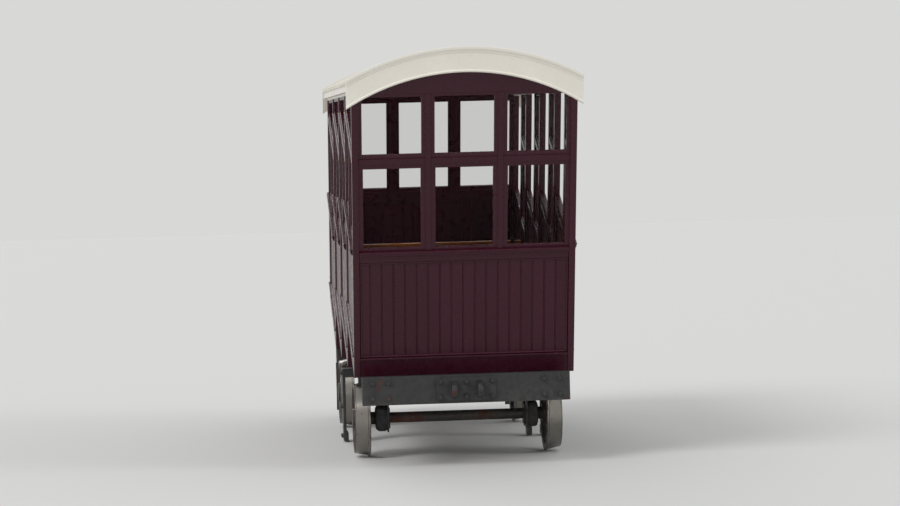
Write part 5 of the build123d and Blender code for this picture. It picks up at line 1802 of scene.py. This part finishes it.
@dataclass
class Roof:
    """Canvas roof with its laps, boarded ceiling, ribs, and the moulded end fascias."""

    lap: float = 0.03
    lap_height: float = 0.0016
    lap_slope: float = 0.002
    lap_start: float = 0.3
    lap_pitch: float = 1.0
    sag: float = 0.0012
    ceiling_board: float = 0.096
    joint: float = 0.004
    fascia_depth: float = 0.19
    fascia_thick: float = 0.026
    fascia_lip: float = 0.0079

    def build(self) -> None:
        """Builds the roof shell and the fascias' mouldings."""
        self.shell()
        self.fascias()
        dress(Slot.CREAM, 0.004, "roof_ribs")

    def crown(self) -> tuple[Array, Array]:
        """Top of the canvas along the car: thicker at its laps, sagging between the ribs.

        The sag is that of a cosine with two waves to a bay.

        Returns:
            Level places (n,) and the canvas's radius at each (n,).
        """
        laps = np.arange(self.lap_start, CAR.length, self.lap_pitch)
        steps = (0.0, self.lap_slope, self.lap, self.lap + self.lap_slope)
        edges = np.add.outer(laps, steps).ravel()
        plain = np.linspace(-CAR.post_half, CAR.length + CAR.post_half, 45)
        stations = np.sort(np.concatenate([plain, edges]))
        into = stations[:, None] - laps - self.lap_slope / 2
        on_lap = ((into > 0.0) & (into < self.lap)).any(axis=1)
        sag = self.sag * (np.cos(stations * 2 * ROUND / CAR.depth) - 1) / 2
        outer = CAR.ceiling_radius + CAR.roof_thick + (on_lap - 1) * self.lap_height
        return stations, outer + sag

    def shell(self) -> None:
        """Builds the roof as one closed ring across the car, drawn out uphill.

        Across, the outside is the arch at the roof's radius and the underside is the arch at
        the ceiling's radius with a V joint at each board. Uphill each ring point stands at
        x = level / cos slope plus its height times tan slope, so both ends are plumb.
        """
        inner = CAR.ceiling_radius
        reach = math.asin(CAR.eaves_half / (inner + CAR.roof_thick))
        over = np.linspace(-reach, reach, 73)
        reach = math.asin(CAR.eaves_half / inner)
        joints = np.linspace(-reach, reach, round(2 * reach * inner / self.ceiling_board) + 1)
        half_cut = self.joint / inner
        under = np.concatenate([joints, joints[1:] - half_cut, joints[:-1] + half_cut])
        under = np.sort(under)[::-1]
        stations, outer = self.crown()
        turn = np.concatenate([over, under])
        radius = np.empty((len(stations), len(turn)))
        radius[:, : len(over)] = outer[:, None]
        radius[:, len(over):] = inner + np.isin(under, joints) * self.joint
        points = np.empty(radius.shape + (3,))
        points[..., 1] = np.clip(radius * np.sin(turn), -CAR.eaves_half, CAR.eaves_half)
        points[..., 2] = CAR.arch_z + radius * np.cos(turn)
        shift = (points[..., 2] - CAR.floor_z) * math.tan(CAR.slope)
        points[..., 0] = CAR.origin_x + stations[:, None] / math.cos(CAR.slope) + shift
        shape = Shape(INCLINE)
        shape.grid(points)
        roof = shape.piece("canvas_roof", Slot.CANVAS, stands_for=("roof_boards",))
        self.paint_ceiling(roof.data)

    def paint_ceiling(self, mesh: bpy.types.Mesh) -> None:
        """Paints the roof's underside cream.

        Args:
            mesh: the roof's mesh.
        """
        mesh.materials.append(MATERIALS[Slot.CREAM])
        middles = np.empty(len(mesh.polygons) * 3)
        mesh.polygons.foreach_get("center", middles)
        _, y, z = middles.reshape(-1, 3).T
        below = np.hypot(y, z - CAR.arch_z) < CAR.ceiling_radius + CAR.roof_thick / 2
        mesh.polygons.foreach_set("material_index", below.astype(np.int32))

    def fascia_profile(self) -> Array:
        """Section of a fascia: depth under its top and distance outwards of the end posts.

        From the top: an ogee rim, a quirk, the flat of the board, and a half-round bead.

        Returns:
            Closed profile (n, 2).
        """
        face, foot = self.fascia_thick, self.fascia_depth
        turn = np.linspace(0.0, QUARTER, 5)
        nose = np.stack([0.003 - 0.003 * np.cos(turn), face + 0.009 + 0.003 * np.sin(turn)], -1)
        cove = np.stack([0.016 + 0.010 * np.sin(turn), face + 0.004 + 0.008 * np.cos(turn)], -1)
        quirk = [(0.026, face), (0.044, face), (0.045, face - 0.003), (0.048, face - 0.003)]
        turn = np.linspace(0.0, math.pi, 9)
        beading = np.stack([foot - 0.010 - 0.0095 * np.cos(turn), face + 0.009 * np.sin(turn)], -1)
        ends = [(0.0, 0.0)], [(foot, face), (foot, 0.0)]
        return np.concatenate([ends[0], nose, cove, quirk, [(0.049, face)], beading, ends[1]])

    def fascias(self) -> None:
        """Draws the fascia's section along the arch at both ends.

        Each point of the section keeps its own radius, so the board follows the roof, and its
        own plane, so its faces are plumb while its top runs on in line with the roof.
        """
        shape = Shape(CAR.end(0.0, End.UPPER))
        depth, out = self.fascia_profile().T
        top = CAR.ceiling_radius + CAR.roof_thick + self.fascia_lip
        for post, way in ((-CAR.post_half, -1), (CAR.length + CAR.post_half, 1)):
            level = post + way * out
            arches = CAR.arch(top - depth, level, CAR.eaves_half)
            planes = np.broadcast_to(level[:, None], arches.shape[:-1] + (1,))
            shape.grid(np.concatenate([arches, planes], -1))
        shape.piece("fascia_boards", Slot.CREAM, stands_for=("roof_fascias",))


@dataclass
class Benches:
    """Slatted benches on cast irons."""

    seat: float = 0.43
    front: float = 0.6
    seat_slats: int = 5
    seat_slat: Span = (0.072, 0.024)
    seat_round: float = 0.007
    slat_gap: float = 0.01
    back_slats: int = 4
    back_slat: Span = (0.084, 0.02)
    back_round: float = 0.006
    back_gap: float = 0.026
    back_foot: float = 0.024
    lean: float = math.tan(math.radians(4.0))
    half_width: float = 0.775
    irons: Point = (-0.7, 0.0, 0.7)
    seat_screws: float = 0.018
    seat_screw: float = 0.0055
    back_screws: Span = (0.026, 0.058)
    back_screw: float = 0.005
    screw_sunk: float = 0.0005

    def build(self) -> None:
        """Builds seat and back slats with their screws."""
        seats, backs, screws = Shape(CAR.body()), Shape(CAR.body()), Shape(CAR.body())
        for bay in range(CAR.bays):
            self.seat_boards(bay, seats, screws)
        for bay in range(CAR.bays):
            self.back_boards(bay, backs, screws)
        seats.piece("seat_slat_boards", Slot.SEAT, stands_for=("seat_slats",))
        backs.piece("back_slat_boards", Slot.SEAT, stands_for=("back_slats",))
        screws.piece("bench_screws", Slot.BRASS)
        dress(Slot.CASTING, 0.003, "bench_irons")

    def seat_boards(self, bay: int, seats: Shape, screws: Shape) -> None:
        """Adds one seat: slats across the car, two screws through each into every iron.

        Args:
            bay: number of its bay, from 0.
            seats: piece that takes the slats.
            screws: piece that takes the screws.
        """
        width, thick = self.seat_slat
        pitch = width + self.slat_gap
        near = bay * CAR.depth + self.front + np.arange(self.seat_slats) * pitch
        top = bay * CAR.rise + self.seat
        low = spots(near, -self.half_width, top - thick)
        high = low + (width, 2 * self.half_width, thick)
        seats.blocks(low, high, self.seat_round, 1, 3)
        along = np.add.outer(near + width / 2, self.seat_screws * BOTH).ravel()
        heads = spots(along, self.irons, top - self.screw_sunk)
        screws.domes(heads, 2, 1, self.seat_screw)

    def back_boards(self, bay: int, backs: Shape, screws: Shape) -> None:
        """Adds one leaning back: slats across the car and their screws.

        Args:
            bay: number of its bay, from 0.
            backs: piece that takes the slats.
            screws: piece that takes the screws.
        """
        width, thick = self.back_slat
        seat = self.seat_slats * self.seat_slat[0] + (self.seat_slats - 1) * self.slat_gap
        level = bay * CAR.depth + self.front + seat + thick
        backs.frame = screws.frame = self.back_frame(level, bay * CAR.rise)
        up = self.back_foot + np.arange(self.back_slats) * (width + self.back_gap)
        low = spots(-thick, -self.half_width, up)
        high = low + (thick, 2 * self.half_width, width)
        backs.blocks(low, high, self.back_round, 1, 3)
        heights = np.add.outer(up, self.back_screws).ravel()
        heads = spots(self.screw_sunk - thick, self.irons, heights)
        screws.domes(heads, 0, -1, self.back_screw)

    def back_frame(self, level: float, floor: float) -> Frame:
        """Frame of a leaning back, from the seat slats' underside.

        Args:
            level: level place of its rear face there.
            floor: height of its floor.

        Returns:
            The frame: u level, v across, w up along the back.
        """
        foot = CAR.spot(level, floor + self.seat - self.seat_slat[1])
        w = np.array(CAR.upright) + self.lean * np.array(CAR.level)
        return Frame(foot, CAR.level, (0.0, 1.0, 0.0), tuple(w))


@dataclass
class Handles:
    """Brass grab handles, bent from rod, with a rose at each foot."""

    low: float = 0.98
    span: float = 0.42
    level: float = 0.71
    reach: float = 0.029
    bend: float = 0.024
    rod: float = 0.008
    sunk: float = 0.004
    screw_ring: float = 0.0155
    screw_face: float = 0.0045
    screw: float = 0.0022

    def build(self) -> None:
        """Builds the bars, their roses and screws."""
        place = CAR.side(Side.PLATFORM)
        bars, roses = Shape(place), Shape(place)
        rose = ((0.021, -0.001), (0.021, 0.003), (0.018, 0.006), (0.012, 0.0075), (0.009, 0.009))
        for bay in range(CAR.bays):
            level, low = bay * CAR.depth + self.level, bay * CAR.rise + self.low
            bars.grid(self.bar(level, low))
            for foot in (low, low + self.span):
                roses.turned(rose, (level, foot, 0.0), segments=28)
                screws = ring((level, foot, self.screw_face), self.screw_ring, THIRDS)
                roses.domes(screws, 2, 1, self.screw)
        bars.piece("grab_bars", Slot.BRASS, stands_for=("grab_handles",))
        roses.piece("handle_roses", Slot.BRASS)

    def bar(self, level: float, low: float) -> Array:
        """Surface of one bent rod.

        Its middle line runs out from the lower foot, round a quarter circle, up, round a
        second quarter circle and back in. A ring of the rod's radius stands square to it,
        spanned by the level direction and the line's normal, which points away from the
        centre of the quarter circles.

        Args:
            level: place along the side.
            low: height of the lower foot.

        Returns:
            Points (rings, sides, 3).
        """
        turn = np.linspace(0.0, QUARTER, 9)
        normal = np.stack([-np.cos(turn), np.sin(turn)], -1)
        lower = np.array((self.bend, self.reach - self.bend)) + self.bend * normal
        upper = (self.span, 0.0) + lower[::-1] * (-1, 1)
        line = np.concatenate([[(0.0, -self.sunk)], lower, upper, [(self.span, -self.sunk)]])
        line += (low, 0.0)
        outwards = normal[::-1] * (-1, 1)
        normals = np.concatenate([normal[:1], normal, outwards, outwards[-1:]])
        around = np.linspace(0.0, ROUND, 16, endpoint=False)
        spread = self.rod * np.cos(around)[:, None] * normals[:, None, :]
        points = np.empty((len(line), len(around), 3))
        points[..., 0] = level + self.rod * np.sin(around)
        points[..., 1:] = line[:, None, :] + spread
        return points


@dataclass
class Studio:
    """Plain pale floor, soft light and the camera at the photograph's viewing angle.

    The photograph looks down the slope from above and left of the car: the eye is about 2.6 m
    over the foot of its wheels and 1.97 m from its middle line, and plumb lines are upright.
    """

    eye: Point = (28.0, -1.97, 2.6)
    target: Point = (0.9, 0.0, 1.6)
    lens: float = 135.0
    clip_end: float = 200.0
    floor_reach: float = 60.0
    floor_colour: str = "d9d8d5"
    sky: Point = (0.95, 0.97, 1.0)
    sky_strength: float = 0.62
    backdrop: Point = (0.688, 0.688, 0.68)
    sun_angle: float = math.radians(24.0)
    suns: tuple[tuple[str, Point, float], ...] = (
        ("key", (5.0, -5.5, 6.5), 1.15),
        ("fill", (4.0, 8.0, 5.0), 0.45),
        ("rear", (-8.5, -2.0, 5.0), 0.4),
    )

    def build(self) -> None:
        """Sets up floor, light and camera."""
        self.floor()
        self.light()
        self.camera()

    def floor(self) -> None:
        """Adds a wide pale floor under the wheels."""
        mesh = bpy.data.meshes.new("studio_floor")
        reach = self.floor_reach
        corners = [(*corner, 0.0) for corner in rectangle(-reach, reach, -reach, reach)]
        mesh.from_pydata(corners, [], [(0, 1, 2, 3)])
        floor = bpy.data.objects.new("studio_floor", mesh)
        bpy.context.scene.collection.objects.link(floor)
        ground = Graph(bpy.data.materials.new("studio_floor"))
        matt = {"Base_Color": linear(self.floor_colour), "Roughness": 0.9}
        mesh.materials.append(ground.finish(None, 0.0, **matt))

    def light(self) -> None:
        """Adds an even sky and three wide, soft suns, which light floor and car alike."""
        world = Graph(bpy.data.worlds.new("studio_world"))
        bpy.context.scene.world = world.owner
        rays = [f"Is {ray} Ray" for ray in ("Camera", "Glossy", "Transmission")]
        seen, glossy, through = [world.add(Node.RAY, output=ray) for ray in rays]
        direct = world.add(Node.PLUS, world.add(Node.PLUS, seen, glossy), through)
        sky = world.add(Node.GLOW, (*self.sky, 1.0), self.sky_strength)
        backdrop = world.add(Node.GLOW, (*self.backdrop, 1.0), 1.0)
        output = world.tree.nodes["World Output"].inputs[0]
        world.feed(output, world.add(Node.EITHER, direct, sky, backdrop))
        for name, place, strength in self.suns:
            data = bpy.data.lights.new(name, "SUN")
            data.energy = strength
            data.angle = self.sun_angle
            lamp = bpy.data.objects.new(name, data)
            lamp.rotation_euler = Vector(place).to_track_quat("Z", "Y").to_euler()
            bpy.context.scene.collection.objects.link(lamp)

    def camera(self) -> None:
        """Adds the camera, rolled so that plumb lines stand upright in the picture."""
        data = bpy.data.cameras.new("camera")
        data.lens = self.lens
        data.clip_end = self.clip_end
        camera = bpy.data.objects.new("camera", data)
        back = (Vector(self.eye) - Vector(self.target)).normalized()
        right = Vector(CAR.upright).cross(back).normalized()
        turn = Matrix((right, back.cross(right), back)).transposed()
        camera.matrix_world = Matrix.Translation(self.eye) @ turn.to_4x4()
        bpy.context.scene.collection.objects.link(camera)
        bpy.context.scene.camera = camera


def main() -> None:
    """Builds the car part by part, then the studio."""
    logging.basicConfig(level=logging.INFO, format="%(message)s")
    bpy.context.scene.view_settings.view_transform = "Standard"
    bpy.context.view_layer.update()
    for slot, finish in FINISHES.items():
        MATERIALS[slot] = finish.build()
    kinds = (Underframe, RunningGear, Floors, Walls, Doors, Roof, Benches, Handles, Studio)
    for kind in kinds:
        kind().build()
        LOG.info("%s built", kind.__name__)


if __name__ == "__main__":
    main()
